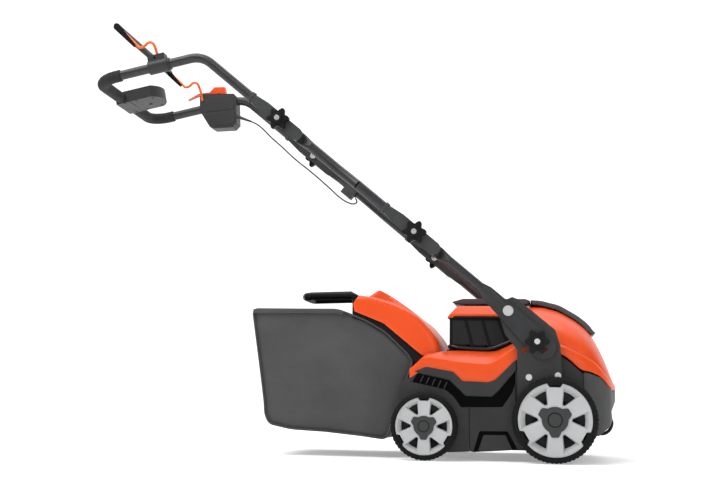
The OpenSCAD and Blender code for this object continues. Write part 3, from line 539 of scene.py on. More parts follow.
KEPT = {
    "deck_shell": ("deck", 0.0015), "vent_housing": ("black", 0.0016),
    "top_cap": ("orange", 0.0030),
    "side_brackets": ("bracket", 0.0016), "bracket_screws": ("zinc", 0.0008),
    "discharge_chute": ("black", 0.001), "motor_housing": ("cast", 0.001),
    "battery_bay": ("black", 0.001), "battery_pack": ("dark", 0.003),
    "hinge_pins": ("bracket", 0.0004), "flap_spring": ("steel", 0),
    "wheel_axles": ("zinc", 0.0006), "motor_shaft": ("steel", 0.0006),
    "blade_adapter": ("cast", 0.001), "blade": ("blade", 0.0006),
    "blade_bolt": ("zinc", 0.0006), "battery_lid": ("lid", 0.0016),
    "lower_arms": ("tube", 0.0012), "lower_bolts": ("zinc", 0.0010),
    "middle_tubes": ("tube", 0.0010), "middle_sleeves": ("sleeve", 0.0010),
    "middle_bolts": ("zinc", 0.0010), "cable_clamp": ("sleeve", 0.0010),
    "handle_loop": ("tube", 0.0008), "upper_sleeves": ("sleeve", 0.0010),
    "foam_grips": ("foam", 0.0015), "control_box": ("dark", 0.0050),
    "bail_bracket": ("dark", 0.0045), "switch_box": ("dark", 0.0050),
    "bail_grip": ("black", 0.0030), "start_lever": ("orange", 0.0014),
    "bag_frame": ("black", 0.0018),
}
for node, (key, width) in KEPT.items():
    finish_node(node, key, width)


# ---- cables

LEAD = [
    (-921, 214, 994.6), (-908, 214, 989), (-894, 213, 980), (-880, 212, 968), (-866, 211, 954),
    (-852, 210, 940), (-836, 209, 926), (-820, 208, 912), (-804, 208, 897), (-788, 207, 882),
    (-772, 207, 868), (-755, 206, 854), (-738, 206, 841), (-720, 206, 826), (-702, 206, 811),
    (-684, 206, 795), (-666, 206, 779), (-650, 206, 764), (-634, 207, 750), (-618, 208, 739),
    (-602, 210, 732), (-590, 212, 731), (-583, 213, 736), (-584, 214, 743), (-588, 214, 748.5),
]


def make_lead():
    path = catmull([P(*p) for p in LEAD], 4)
    lead = make("signal_lead", *sweep_points(path, 0.0022, 12), "cable", None, "cable")
    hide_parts("signal_cable")
    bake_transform(lead)
    # tapered strain relief with moulded rings
    a, b = P(-968, 214, 1012.5), P(-921.5, 214, 995)
    pts, radii = [], []
    for i in range(33):
        t = i / 32
        pts.append(a.lerp(b, t))
        groove = 0.0006 if 0.2 < t < 0.92 and i % 4 >= 2 else 0.0
        radii.append(0.0060 * (1 - t) + 0.0031 * t - groove)
    relief = make("strain_relief_boot", *sweep_points(pts, radii, 20), "cable", "upper_handle",
                  "cable")
    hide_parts("strain_relief")


make_lead()


# ---- lights and floor

def stage_plane(name, corners, emission, albedo):
    mesh = bpy.data.meshes.new(name)
    mesh.from_pydata(corners, [], [(0, 1, 2, 3)])
    mat, _, bsdf = new_material(name)
    put(bsdf, Base_Color=(albedo, albedo, albedo, 1), Roughness=0.9, Specular_IOR_Level=0.0,
        Emission_Color=(1, 1, 1, 1), Emission_Strength=emission)
    mesh.materials.append(mat)
    new_object(name, mesh)


def add_stage():
    low = -0.0005   # just under the tyres
    stage_plane("floor", [(-14, -9, low), (14, -9, low), (14, 7, low), (-14, 7, low)], 0.30, 0.92)
    stage_plane("backdrop", [(-14, 7, -0.1), (14, 7, -0.1), (14, 7, 12), (-14, 7, 12)], 1.05, 0.2)
    world = bpy.data.worlds.new("studio")
    SCENE.world = world
    world.use_nodes = True
    put(world.node_tree.nodes["Background"], Color=(1, 1, 1, 1), Strength=0.42)

    def area(name, loc, target, size, power):
        data = bpy.data.lights.new(name, "AREA")
        data.shape = "RECTANGLE"
        data.size, data.size_y = size
        data.energy = power
        obj = new_object(name, data)
        obj.location = loc
        d = Vector(target) - Vector(loc)
        obj.rotation_euler = d.to_track_quat("-Z", "Y").to_euler()

    area("key", (-1.6, -1.6, 3.6), (0.0, 0.0, 0.4), (3.4, 2.2), 120)
    area("fill", (1.8, -3.6, 1.6), (0.2, 0.0, 0.4), (2.4, 1.8), 22)
    area("rim", (0.1, 0.9, 3.6), (0.0, 0.0, 0.4), (4.0, 1.6), 62)
    SCENE.view_settings.view_transform = "Standard"
    SCENE.view_settings.look = "None"


add_stage()

# ---- cover shells

def cover(name, rows, node, body, thick=2.2, corner=40):
    """A moulded orange sheet from rows of points, given its real wall on the inner side."""
    obj = make(name, [p for row in rows for p in row], grid_faces(len(rows), len(rows[0])),
               "orange", None)
    mod(obj, "SOLIDIFY", thickness=thick / 1000, offset=-1)
    mod(obj, "BEVEL", width=0.0007, segments=2, limit_method="ANGLE",
        angle_limit=math.radians(corner))
    apply_mods(obj)
    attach(obj, body)
    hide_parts(node)


HOOD_TOP = [(-62, 403), (-34, 405), (12, 393), (57, 367), (84, 345), (105, 316), (127, 268),
            (144, 226), (156, 184)]
HOOD_LOW = [(-62, 262), (19, 268), (40, 252), (66, 227), (86, 226), (118, 212), (138, 186),
            (156, 176)]
HOOD_HALF = [(-62, 235.5), (70, 235.5), (112, 218), (140, 178), (156, 110), (160, 20)]
HOOD_CREASE = [(-62, 304), (21, 292), (60, 273), (98, 251), (127, 221), (145, 194), (156, 184)]
HOOD_LEDGE = [(-62, 25), (60, 24), (100, 19), (140, 11), (158, 4)]


def hood_row(x, across=60):
    """One cross-section of the hood at x: flank, ledge, crease, dome, and the same back down."""
    top = smooth_table(HOOD_TOP, x, 14)
    low = smooth_table(HOOD_LOW, x, 10)
    half = smooth_table(HOOD_HALF, x, 12)
    knee = max(min(smooth_table(HOOD_CREASE, x, 9), top - 1), low + 0.5)
    inner = half - lerp_table(HOOD_LEDGE, x)
    side = []
    for k in range(11):
        a = math.pi / 2 * k / 10
        side.append((-inner - (half - inner) * math.cos(a) ** 0.72,
                     low + (knee - low) * math.sin(a) ** 0.85))
    power = 2 / 1.85   # of a superellipse
    dome = []
    for k in range(1, across):
        a = math.pi * k / across
        c, q = math.cos(a), math.sin(a)
        dome.append((-inner * math.copysign(abs(c) ** power, c), knee + (top - knee) * q ** power))
    row = side + dome + [(-y, z) for y, z in reversed(side)]
    return [P(x, y, z) for y, z in row]


cover("front_hood_shell", [hood_row(-62 + 218 * k / 72) for k in range(73)], "front_hood",
      "chassis")


COWL = [(-364, 206, 222, 204, 228), (-325, 233, 258, 204, 266), (-278, 226, 252, 200, 273),
        (-274, 225, 251, 158, 275), (-257, 222, 248, 158, 276), (-223, 198, 244, 158, 276),
        (-167, 194, 240, 158, 274), (-147, 202, 248, 158, 276), (-98, 256, 284, 158, 298),
        (-64, 260, 290, 158, 302)]


def make_cowl():
    tables = [[(s[0], s[k]) for s in COWL] for k in (1, 2, 3, 4)]
    for side, label in SIDES:
        rows = []
        for i in range(61):
            x = -363.5 + 299.5 * i / 60
            low, crease, inner_y, inner_z = (smooth_table(t, x, 7) for t in tables)
            ledge = 232.3
            row = [(235.4, low - 5), (235.4, low + (crease - low) * 0.5), (235.4, crease - 3.2),
                   (235.0, crease - 1.2), (233.9, crease), (ledge, crease + 0.9)]
            for k in range(1, 9):
                t = k / 8
                rise = math.sin(t * math.pi / 2) ** 0.9
                row.append((ledge + (inner_y - ledge) * t,
                            crease + 0.9 + (inner_z - crease - 0.9) * rise))
            rows.append([P(x, side * y, z) for y, z in row])
        cover("side_cowl_" + label, rows, "side_cowl", "chassis")


make_cowl()


FLAP_MAIN = [(-505, 418), (-470, 413), (-420, 399), (-358, 369), (-322, 334), (-300, 303),
             (-289, 262)]
FLAP_RAISED = [(-482, 447), (-440, 428), (-387, 392), (-340, 352), (-312, 318), (-292, 281)]
FLAP_LOW = [(-337, 262), (-438, 344), (-516, 375), (-519, 395)]


def make_flap():
    """The discharge flap: a moulded hood whose middle stands proud, with rounded skirt sides."""
    spine = catmull([Vector((x, 0, z)) for x, z in FLAP_MAIN], 8)
    raised = catmull([Vector((x, 0, z)) for x, z in FLAP_RAISED], 8)
    low = [Vector((x, 0, z)) for x, z in reversed(FLAP_LOW)]
    rows = []
    steps, half, r = 64, 194.7, 17.0
    for i in range(steps + 1):
        s = i / steps
        a, b, c = along(spine, s), along(raised, s), along(low, s)
        depth = max((c - a).length, 1.0)
        down = (c - a) / depth
        rr = min(r, depth)
        # skirt, from the lower edge up to the shoulder, then the rounded shoulder
        row = [(c.lerp(a + down * rr, k / 6), 1.0) for k in range(6)]
        for k in range(6):
            t = math.pi / 2 * k / 5
            q = a + down * rr * (1 - math.sin(t))
            row.append((q, 1.0 - (r / 195.0) * (1 - math.cos(t))))
        for k in range(1, 25):
            ay = (1.0 - r / 195.0) * (1 - k / 24)
            lift = ease(1 - clamp((ay - 0.51) / 0.05))
            grow = ease(clamp((s - 0.01) / 0.07) * clamp((0.99 - s) / 0.12))
            row.append((a.lerp(b, lift * grow), ay))
        full = [(q, -w) for q, w in row] + [(q, w) for q, w in reversed(row[:-1])]
        rows.append([P(q.x, w * half, q.z) for q, w in full])
    cover("rear_flap_cover", rows, "rear_flap", "discharge_flap", thick=2.4, corner=50)
    # the knuckles that turn on the hinge pin
    leaf = ((-307, 252), (-305, 300), (-295, 300), (-293, 252))
    for side, label in SIDES:
        y = 156 * side
        knuckle = rod("flap_knuckle_" + label, P(-300, y - 6, 252), P(-300, y + 6, 252), 0.009,
                      32, "orange", "discharge_flap", "orange_cover")
        mod(knuckle, "BEVEL", width=0.001, segments=2, limit_method="ANGLE")
        prism("flap_leaf_" + label, leaf, y - 5, y + 5, "orange", "discharge_flap",
              "orange_cover", 0.001)


make_flap()


def rounded_outline(points, r, per=6):
    """A closed outline with its corners rounded to radius r, as evenly spaced points."""
    pts = [Vector((x, 0, z)) for x, z in points]
    out = []
    n = len(pts)
    for i in range(n):
        a, b, c = pts[i - 1], pts[i], pts[(i + 1) % n]
        u, v = (a - b), (c - b)
        d = min(r, u.length * 0.45, v.length * 0.45)
        p, q = b + u.normalized() * d, b + v.normalized() * d
        for k in range(per + 1):
            t = k / per
            out.append(p * (1 - t) ** 2 + 2 * b * t * (1 - t) + q * t * t)
    return out


def resample(points, count):
    """A closed outline cut into equal steps."""
    pts = points + [points[0]]
    return [along(pts, k / count) for k in range(count)]


# ---- plates from outlines

def rounded_loop(points, r, per=5):
    """A closed loop of (x, z) pairs with rounded corners."""
    return [(p.x, p.z) for p in rounded_outline(points, r, per)]


def plate(name, loops, y_in, y_out, key, body, bevel, at=(0, 0), side=-1):
    """A flat moulded plate: closed loops of (x, z) in mm, the first outside and the rest holes,
    from y_in to y_out mm either side of the middle plane, with its edges rounded."""
    data = bpy.data.curves.new(name, "CURVE")
    data.dimensions = "2D"
    data.fill_mode = "BOTH"
    thick = abs(y_out - y_in)
    data.extrude = (thick / 2 - bevel) / 1000
    data.bevel_depth = bevel / 1000
    data.bevel_resolution = 2
    data.offset = -bevel / 1000
    for loop in loops:
        sp = data.splines.new("POLY")
        sp.points.add(len(loop) - 1)
        for q, (x, z) in zip(sp.points, loop):
            q.co = ((x + at[0]) / 1000, (z + at[1]) / 1000, 0, 1)
        sp.use_cyclic_u = True
    tmp = new_object(name, data)
    bpy.context.view_layer.update()
    mesh = bpy.data.meshes.new_from_object(
        tmp.evaluated_get(bpy.context.evaluated_depsgraph_get()))
    bpy.data.objects.remove(tmp)
    bpy.data.curves.remove(data)
    mid = (y_in + y_out) / 2000
    turn = Matrix(((1, 0, 0, AXLE_X), (0, 0, side, side * mid), (0, 1, 0, 0), (0, 0, 0, 1)))
    mesh.transform(turn)
    obj = new_object(name, mesh)
    clean_mesh(mesh, merge=MERGE)
    mesh.materials.clear()
    mesh.materials.append(M[key])
    smooth_faces(obj)
    mod(obj, "WEIGHTED_NORMAL", keep_sharp=True, weight=90)
    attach(obj, body)
    return obj


# ---- deck mouldings

RECESS = [(-357, 193), (-344, 215), (-304, 207), (-263, 198), (-244, 181), (-221, 159),
          (-154, 158), (-137, 175), (-97, 224), (-97, 191), (-106, 168), (-129, 134),
          (-232, 132), (-251, 158), (-271, 175), (-310, 184)]
SHOULDER = [(-352, 219), (-322, 231.5), (-252, 219.5), (-229, 196.5), (-163, 194.5),
            (-147, 201), (-94, 252), (-94, 226), (-137, 176), (-154, 159.5), (-221, 160.5),
            (-244, 182.5), (-262, 199.5), (-304, 208.5), (-343, 217)]
LOWER_REAR = [(-394, 118), (-392, 160), (-388, 189), (-364, 198), (-356, 192), (-310, 183),
              (-271, 174), (-251, 157), (-232, 131), (-212.6, 131.3), (-211.2, 32),
              (-209.8, 28), (-209.8, 22), (-270, 19), (-300, 30), (-300, 118)]
LOWER_FRONT = [(-211.4, 131.3), (-129, 133), (-106, 167), (-96, 191), (-96, 128), (-84, 60),
               (-70, 33), (-92, 31), (-116, 74), (-186, 73), (-201, 22.5), (-209.7, 22),
              (-209.7, 28), (-210.4, 32)]
TRAPEZOID = [(-190, 23.5), (-176, 64), (-121, 65), (-105, 30)]
SLATS = [(-328, 209), (-313, 205.5), (-298, 202), (-283, 198), (-268, 194)]


POCKET = [(-204, 21), (-188, 76), (-116, 77), (-92, 29)]
# name, outline, corner radius, inner and outer y, material, slot, edge radius
DECK_PLATES = [
    # the recess and pocket floors carry painted shade
    ("recess", RECESS, 4, 234.9, 235.7, "pit_painted_shade", "black_cover", 0.2),
    ("pocket", POCKET, 0, 234.9, 235.7, "pit_painted_shade", "black_cover", 0.2),
    ("shoulder", SHOULDER, 4, 234.6, 239.4, "deck", "deck", 1.6),
    ("lower_rear", LOWER_REAR, 3, 234.6, 238.2, "deck", "deck", 1.0),
    ("lower_front", LOWER_FRONT, 3, 234.6, 238.2, "deck", "deck", 1.0),
    ("emboss", TRAPEZOID, 3, 234.6, 238.0, "deck", "deck", 1.2),
]


def make_deck_side(side, label):
    for name, outline, r, y_in, y_out, key, slot, bevel in DECK_PLATES:
        loop = rounded_loop(outline, r) if r else outline
        plate("deck_%s_%s" % (name, label), [loop], y_in, y_out, key, "chassis", bevel,
              side=side)
    for i, (x, z) in enumerate(SLATS):
        fin = [(x - 1.4, z), (x + 1.4, z - 0.5), (x - 6.5, z - 17.5), (x - 9.3, z - 17)]
        plate("deck_slat_%s_%d" % (label, i + 1), [fin], 234.8, 238.6, "dark", "chassis",
              0.5, side=side)


for side, label in SIDES:
    make_deck_side(side, label)


# ---- vent housing and strip

def make_vent_trim():
    """Gasket under the cap, lip at the foot, and the raised panels between the slots."""
    def ring(name, x0, half, z_of, r, key):
        x1, corner = -66, 26
        pts = [(x1 + (x0 + corner - x1) * k / 12, -half) for k in range(13)]
        for k in range(1, 9):
            a = math.pi / 2 * k / 8
            pts.append((x0 + corner - corner * math.sin(a), -half + corner * (1 - math.cos(a))))
        for k in range(1, 12):
            pts.append((x0, (-half + corner) * (1 - 2 * k / 12)))
        other = [(x, -y) for x, y in reversed(pts[:21])]
        line = [P(x, y, z_of(x)) for x, y in pts + other]
        make(name, *sweep_points(line, r / 1000, 14), key, "chassis", "black_cover")

    ring("vent_gasket", -273, 150, lambda x: 364.0, 3.4, "black")
    foot = [(-277, 288), (-251, 283), (-191, 279), (-164, 279), (-130, 291), (-105, 303),
            (-64, 309)]
    ring("vent_lip", -271, 154, lambda x: smooth_table(foot, x, 8) + 2, 5.0, "gloss")
    panels = [
        [(-262, 356), (-231, 356), (-214, 292), (-262, 292)],
        [(-223, 356), (-187, 356), (-168, 290), (-206, 291)],
        [(-179, 356), (-146, 356), (-124, 302), (-136, 292), (-160, 290)],
        [(-138, 356), (-66, 356), (-66, 318), (-117, 306)],
    ]
    for side, label in SIDES:
        for i, loop in enumerate(panels):
            plate("vent_panel_%s_%d" % (label, i + 1),
                  [rounded_loop(loop, 3)], 145.0, 148.6, "vent", "chassis",
                  1.2, side=side)


make_vent_trim()

STRIP = [(-61.0, 418.5), (-32, 416), (15, 404), (62, 377), (90, 355), (109, 329)]


STRIP_SECTION = [(-1.0, -1.0), (-1.0, -0.35), (-0.985, -0.12), (-0.95, 0.0), (-0.80, 0.06),
                 (-0.45, 0.10), (0.0, 0.12), (0.45, 0.10), (0.80, 0.06), (0.95, 0.0),
                 (0.985, -0.12), (1.0, -0.35), (1.0, -1.0)]


def make_strip():
    """The strip along the hood's crown: curved lengthways, crowned across, round-edged."""
    rows = []
    count = 40
    for i in range(count + 1):
        x = -61.0 + 170.0 * i / count
        z = smooth_table(STRIP, x, 8) - (0.0 if x > -45 else 0.4)
        slope = smooth_table(STRIP, x + 1, 8) - z
        ln = math.hypot(slope, 1.0)
        nx, nz = -slope / ln, 1.0 / ln
        end = min(1.0, (count - i) / 3.0) ** 0.5
        half = 75.0 - 2.0 * max(0, i - count + 3)
        deep = 13.0 * (0.35 + 0.65 * end)
        row = []
        for sy, sz in STRIP_SECTION:
            d = sz * deep - 1.6
            row.append(P(x + nx * d, sy * half, z + nz * d))
        rows.append(row)
    verts = [q for row in rows for q in row]
    cols = len(STRIP_SECTION)
    faces = grid_faces(count + 1, cols, wrap_cols=True)
    faces.append(tuple(range(cols - 1, -1, -1)))
    faces.append(tuple(count * cols + k for k in range(cols)))
    # the strip's lighter plastic is painted top light
    obj = make("hood_strip_crowned", verts, faces, "lid", "chassis", "dark_cover")
    mod(obj, "BEVEL", width=0.0012, segments=2, limit_method="ANGLE",
        angle_limit=math.radians(38))
    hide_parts("hood_strip")


make_strip()


# the low wall between the lid's hinge and the strip
LID_WALL = [(-60.6, 399), (-57.5, 399), (-57.5, 416.2), (-58.6, 416.2), (-60.6, 413)]
prism("lid_hinge_wall", LID_WALL, -70, 70, "black", "chassis", "black_cover", 0.0006)


# ---- grass bag

BAG = [(-793, 382), (-754, 131), (-752, 103), (-740, 78), (-680, 65), (-585, 60), (-493, 52),
       (-424, 44), (-357, 244), (-369, 264), (-430, 322), (-483, 354), (-527, 371), (-560, 383)]


BAG_COUNT = 300
BAG_LINE = resample(rounded_outline(BAG, 16), BAG_COUNT)
BAG_MID = sum(BAG_LINE, Vector()) / BAG_COUNT


def bag_crease(x, y, z):
    """Soft folds: the cloth sags between the rim and the base and puckers at its seams."""
    broad = noise.noise(Vector((x * 0.007, y * 0.0035, z * 0.006)))
    fine = noise.noise(Vector((x * 0.020, y * 0.010, z * 0.011 + 7.0)))
    return 2.6 * broad + 1.1 * fine


def bag_top(p):
    """How much of a point of the outline is rim, which the frame holds flat."""
    return clamp((p.z - 330) / 40)


def make_bag():
    half = 193.4
    rings = []
    # the side panel: from a small ring in the middle out to the seam, slightly hollow
    steps = [0.06, 0.2, 0.34, 0.46, 0.57, 0.67, 0.76, 0.83, 0.885, 0.925, 0.955, 0.975]
    for side, _ in SIDES:
        panel = []
        for f in steps:
            ring = []
            for p in BAG_LINE:
                q = BAG_MID.lerp(p, f)
                edge = f ** 4
                puff = 5.5 * math.sin(math.pi * f) * (1 - edge)
                fold = bag_crease(q.x, side * 200, q.z) * (1 - f ** 10) * (1 - 0.6 * bag_top(q))
                y = half - 6.5 + puff * 0.6 + fold * 0.9 - 3.4 * max(f - 0.92, 0) / 0.055
                ring.append(Vector((q.x, side * min(y, half), q.z)))
            panel.append(ring)
        rings.append(panel)
    # round the panel's edge onto the gusset that joins the two sides
    gusset = []
    m = 32
    for k in range(m + 1):
        t = -1 + 2 * k / m
        y = t * (half - 5.0)
        ring = []
        for p in BAG_LINE:
            out = (p - BAG_MID).normalized()
            sag = 0.0
            if p.z < 120:
                sag = 2.4 * (1 - t * t)
            elif p.z < 350:
                sag = -2.0 * (1 - t * t)
            fold = 0.8 * bag_crease(p.x + 300, y, p.z) * (1 - abs(t) ** 6) * (1 - bag_top(p))
            amount = -3.2 + min(sag + fold * 0.6, 3.0) - 1.2 * max(abs(t) - 0.93, 0) / 0.07
            q = p + out * amount
            ring.append(Vector((q.x, y, q.z)))
        gusset.append(ring)
    right, left = rings
    body = right + gusset + list(reversed(left))
    verts = [P(*v) for ring in body for v in ring]
    faces = grid_faces(len(body), BAG_COUNT, wrap_cols=True)
    n = len(verts)
    verts += [P(*(sum(body[0], Vector()) / BAG_COUNT)), P(*(sum(body[-1], Vector()) / BAG_COUNT))]
    last = (len(body) - 1) * BAG_COUNT
    for j in range(BAG_COUNT):
        k = (j + 1) % BAG_COUNT
        faces.append((n, k, j))
        faces.append((n + 1, last + j, last + k))
    cloth = make("bag_cloth", verts, faces, "fabric", "grass_bag", "bag")
    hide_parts("bag_fabric")

    # bound seams along both side outlines
    for side, label in SIDES:
        line = [P(p.x + (BAG_MID - p).normalized().x * 3.4, side * (half - 2.6),
                  p.z + (BAG_MID - p).normalized().z * 3.4) for p in BAG_LINE]
        verts = []
        for i, p in enumerate(line):
            t = (line[(i + 1) % len(line)] - line[i - 1]).normalized()
            u = Vector((0, 1, 0))
            w = t.cross(u)
            for k in range(8):
                a = 2 * math.pi * k / 8
                verts.append(p + 0.0020 * math.cos(a) * u + 0.0024 * math.sin(a) * w)
        make("bag_binding_" + label, verts,
             grid_faces(len(line), 8, wrap_cols=True, wrap_rows=True), "binding", "grass_bag",
             "bag")


make_bag()


def make_bag_rim():
    """The hem that wraps the frame's top edge, and the line of stitches beneath it."""
    top = [(-788, 377.5), (-740, 377.6), (-700, 378), (-620, 379), (-566, 378), (-545, 372.5)]
    for side, label in SIDES:
        line = catmull([P(x, side * 192.2, z) for x, z in top], 8)
        verts = []
        for i, p in enumerate(line):
            t = (line[min(i + 1, len(line) - 1)] - line[max(i - 1, 0)]).normalized()
            up = Vector((-t.z, 0, t.x))
            if up.z < 0:
                up = -up
            q = Vector((0, side, 0))
            wave = 0.0004 * math.sin(i * 1.7) + 0.0003 * math.sin(i * 0.61)
            for h, o in ((0.0, -0.0014), (0.0006, 0.0012), (0.003, 0.0018 + wave),
                         (0.0075, 0.0017 - wave), (0.0105, 0.0010), (0.0112, -0.0014)):
                verts.append(p + up * (h - 0.0085) + q * o)
        make("bag_hem_" + label, verts, grid_faces(len(line), 6, wrap_cols=True), "fabric",
             "grass_bag", "bag")
        # stitches under the hem
        s_verts, s_faces = [], []
        total = sum((line[i + 1] - line[i]).length for i in range(len(line) - 1))
        count = int(total / 0.0055)
        drop = Vector((0, side * 0.0006, -0.0105))
        for i in range(count):
            ends = [along(line, (i + k) / count) + drop for k in (0.15, 0.75)]
            v, f = sweep_points(ends, 0.0004, 5)
            s_faces += [tuple(x + len(s_verts) for x in face) for face in f]
            s_verts += v
        make("bag_stitches_" + label, s_verts, s_faces, "binding", "grass_bag", "bag")


make_bag_rim()


def make_bag_lip():
    """Black flange round the bag's mouth, which the flap closes onto."""
    line = [(-513, 388), (-438, 350), (-340, 270), (-336, 250), (-352, 236), (-366, 252),
            (-434, 314), (-487, 347), (-521, 357), (-521, 374)]
    for side, label in SIDES:
        plate("bag_mouth_lip_" + label, [rounded_loop(line, 4)], 183.0, 188.0, "black",
              "grass_bag", 1.2, side=side)


make_bag_lip()


# ---- wheels

CORNERS = ("front_right", "front_left", "rear_right", "rear_left")
RIM_SHARE = {"front": 0.857, "rear": 0.845}   # the visible rim's radius over the tyre's
LUG_COUNT = {"front": 60, "rear": 48}
THIRD = math.radians(120)


def tyre_box(corner):
    """The corners of a tyre's box and its radius, in metres."""
    lo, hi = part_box(corner + "_tyre")
    return lo, hi, (hi.z - lo.z) / 2


def make_tyre(corner):
    """A moulded tyre: shouldered profile, side ring, and fine lugs round it."""
    end = corner.split("_")[0]
    lo, hi, radius = tyre_box(corner)
    centre = (lo + hi) / 2
    w = (hi.y - lo.y) / 2
    rim_in = radius * RIM_SHARE[end]
    # (radius, across) from the inner edge over the tread and back
    prof = [(rim_in, -w + 0.0030), (rim_in + 0.002, -w + 0.0008), (rim_in + 0.0045, -w),
            (radius - 0.0105, -w), (radius - 0.0075, -w + 0.0006), (radius - 0.0042, -w + 0.0028),
            (radius - 0.0014, -w + 0.0062), (radius - 0.0002, -w + 0.0105),
            (radius, -w + 0.0135)]
    prof += [(r, -y) for r, y in reversed(prof)]
    steps = 480
    verts = []
    for i in range(steps):
        a = 2 * math.pi * i / steps
        between_lugs = (a * LUG_COUNT[end] / (2 * math.pi)) % 1 > 0.62
        for r, y in prof:
            depth = 0.0013 if r > radius - 0.005 else (0.0006 if r > radius - 0.009 else 0)
            rr = r - between_lugs * depth
            verts.append(Vector((centre.x + rr * math.cos(a), centre.y + y,
                                 centre.z + rr * math.sin(a))))
    obj = make(corner + "_tyre_moulded", verts,
               grid_faces(steps, len(prof), wrap_cols=True, wrap_rows=True), "tyre",
               corner + "_wheel", "tyre")
    smooth_faces(obj)
    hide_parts(corner + "_tyre")


for corner in CORNERS:
    make_tyre(corner)


def turned(points, angle):
    c, q = math.cos(angle), math.sin(angle)
    return [(x * c - z * q, x * q + z * c) for x, z in points]


def make_rim(corner):
    """Wheel face: a ring and six wide spokes with chamfered windows, barrel, hub, and the
    dark lugs of the tyre that key into the rim's three notches."""
    lo, hi, radius = tyre_box(corner)
    c = (lo + hi) / 2
    side = -1 if c.y < 0 else 1
    body = corner + "_wheel"
    r_out = radius * RIM_SHARE[corner.split("_")[0]] * 1000
    s = r_out / 90   # the sizes below are a front wheel's
    at = ((c.x - AXLE_X) * 1000, c.z * 1000)
    face = max(abs(lo.y), abs(hi.y)) * 1000 - 4.2

    def wheel_plate(name, loops, y_in, y_out, key, bevel):
        return plate(corner + name, loops, y_in, y_out, key, body, bevel, at, side)

    def points(loop, depth):
        return [P(at[0] + x, side * depth, at[1] + z) for x, z in loop]

    outline = []
    gap_half = math.asin(19 * s / r_out)
    notch = [(r_out * math.cos(gap_half), -19 * s), (r_out - 11 * s, -13 * s),
             (r_out - 11 * s, 13 * s), (r_out * math.cos(gap_half), 19 * s)]
    for k in range(3):
        mid = math.radians(90 + 120 * k)
        start, stop = mid + gap_half, mid + THIRD - gap_half
        outline += turned(notch, mid) + arc(r_out, start, stop - start, 30)
    big = [(39 * s, -3.2 * s), (81.5 * s, -23.5 * s), (83.5 * s, 0), (81.5 * s, 23.5 * s),
           (39 * s, 3.2 * s)]
    small = [(42 * s, -2.6 * s), (71 * s, -15.5 * s), (72.5 * s, 0), (71 * s, 15.5 * s),
             (42 * s, 2.6 * s)]
    wide, narrow = ([turned(rounded_loop(loop, r * s), math.radians(60 * k)) for k in range(6)]
                    for loop, r in ((big, 3.4), (small, 3.0)))
    rim = wheel_plate("_rim_face", [outline] + wide, face - 3.2, face, "rim", 0.7)
    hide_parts(corner + "_rim")

    # the windows' walls, the barrel and the hub
    walls = [((b, face - 0.6), (n, face - 8.5), (n, face - 13)) for b, n in zip(wide, narrow)]
    walls += [((circle(r), face - near), (circle(r), face - far))
              for r, near, far in ((r_out - 0.3, 2, 32), (r_out - 4.5, 3, 32), (24 * s, 3, 30))]
    verts, faces = [], []
    for wall in walls:
        base = len(verts)
        for loop, depth in wall:
            verts += points(loop, depth)
        faces += [tuple(base + v for v in f)
                  for f in grid_faces(len(wall), len(wall[0][0]), wrap_cols=True)]
    # a black disc behind the spokes: painted shade for the dark inside of the wheel seen through
    # the windows
    shade_disc_rings = [(24.2 * s, 18), (70 * s, 19), (81 * s, 17.5), (r_out - 4.6, 16.5)]
    shade_disc = make(corner + "_inner_web", [p for r, d in shade_disc_rings for p in points(circle(r), face - d)],
                grid_faces(len(shade_disc_rings), 96, wrap_cols=True), "black", body, "tyre")
    mod(shade_disc, "SOLIDIFY", thickness=0.0016, offset=0)
    smooth_faces(make(corner + "_rim_windows", verts, faces, "rim", body, "rim"))

    # keyed lugs of the tyre
    lug = [(r_out - 10.2 * s, -12 * s), (r_out - 3 * s, -15.5 * s), (r_out + 2, -18 * s),
           (r_out + 2, 18 * s), (r_out - 3 * s, 15.5 * s), (r_out - 10.2 * s, 12 * s),
           (r_out - 6.0 * s, 6.5 * s), (r_out - 6.0 * s, -6.5 * s)]
    for k in range(3):
        loop = rounded_loop(turned(lug, math.radians(90 + 120 * k)), 1.6)
        wheel_plate("_tyre_lug_%d" % (k + 1), [loop], face - 9, face + 2.2, "tyre", 1.2)

    # hub cap: three lobes with hollow flanks, lofted to a domed face, with a boss ringed by a
    # black band of painted shade
    cap = []
    half = math.asin(12.5 / 32)
    for k in range(3):
        mid = math.radians(30 + 120 * k)
        cap += turned([(42 * s, -9 * s), (42 * s, 9 * s)], mid)
        cap += arc(32 * s, mid + half, THIRD - 2 * half, 14)
    c_lo, c_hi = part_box(corner + "_cap")
    top = min(max(abs(c_lo.y), abs(c_hi.y)) * 1000, face + 4.2)
    loop = rounded_loop(cap, 3.0 * s, 4)
    levels = [(6.5, 1.0), (2.4, 1.0), (1.7, 0.985), (1.2, 0.955), (0.9, 0.91), (0.8, 0.7),
              (0.8, 0.3)]
    h_verts = [p for deep, k in levels
               for p in points([(x * k, z * k) for x, z in loop], top - deep)]
    h_faces = grid_faces(len(levels), len(loop), wrap_cols=True)
    h_faces.append(tuple((len(levels) - 1) * len(loop) + q for q in range(len(loop))))
    hub = make(corner + "_hub_cap", h_verts, h_faces, "cap", body, "hub_cap")
    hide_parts(corner + "_cap")
    wheel_plate("_hub_boss", [circle(15 * s, 48)], top - 2.5, top, "cap", 0.7)
    # a black ring flush with the cap face round the boss's foot: painted shade of a groove
    wheel_plate("_hub_boss_shade_ring", [circle(18.5 * s, 48), circle(15.5 * s, 48)], top - 1.6,
                top - 0.72, "black", 0.1)


for corner in CORNERS:
    make_rim(corner)


# ---- handle details

def mirrored(points):
    """The points' mirror images in the middle plane, in reverse order."""
    return [Vector((p.x, -p.y, p.z)) for p in reversed(points)]


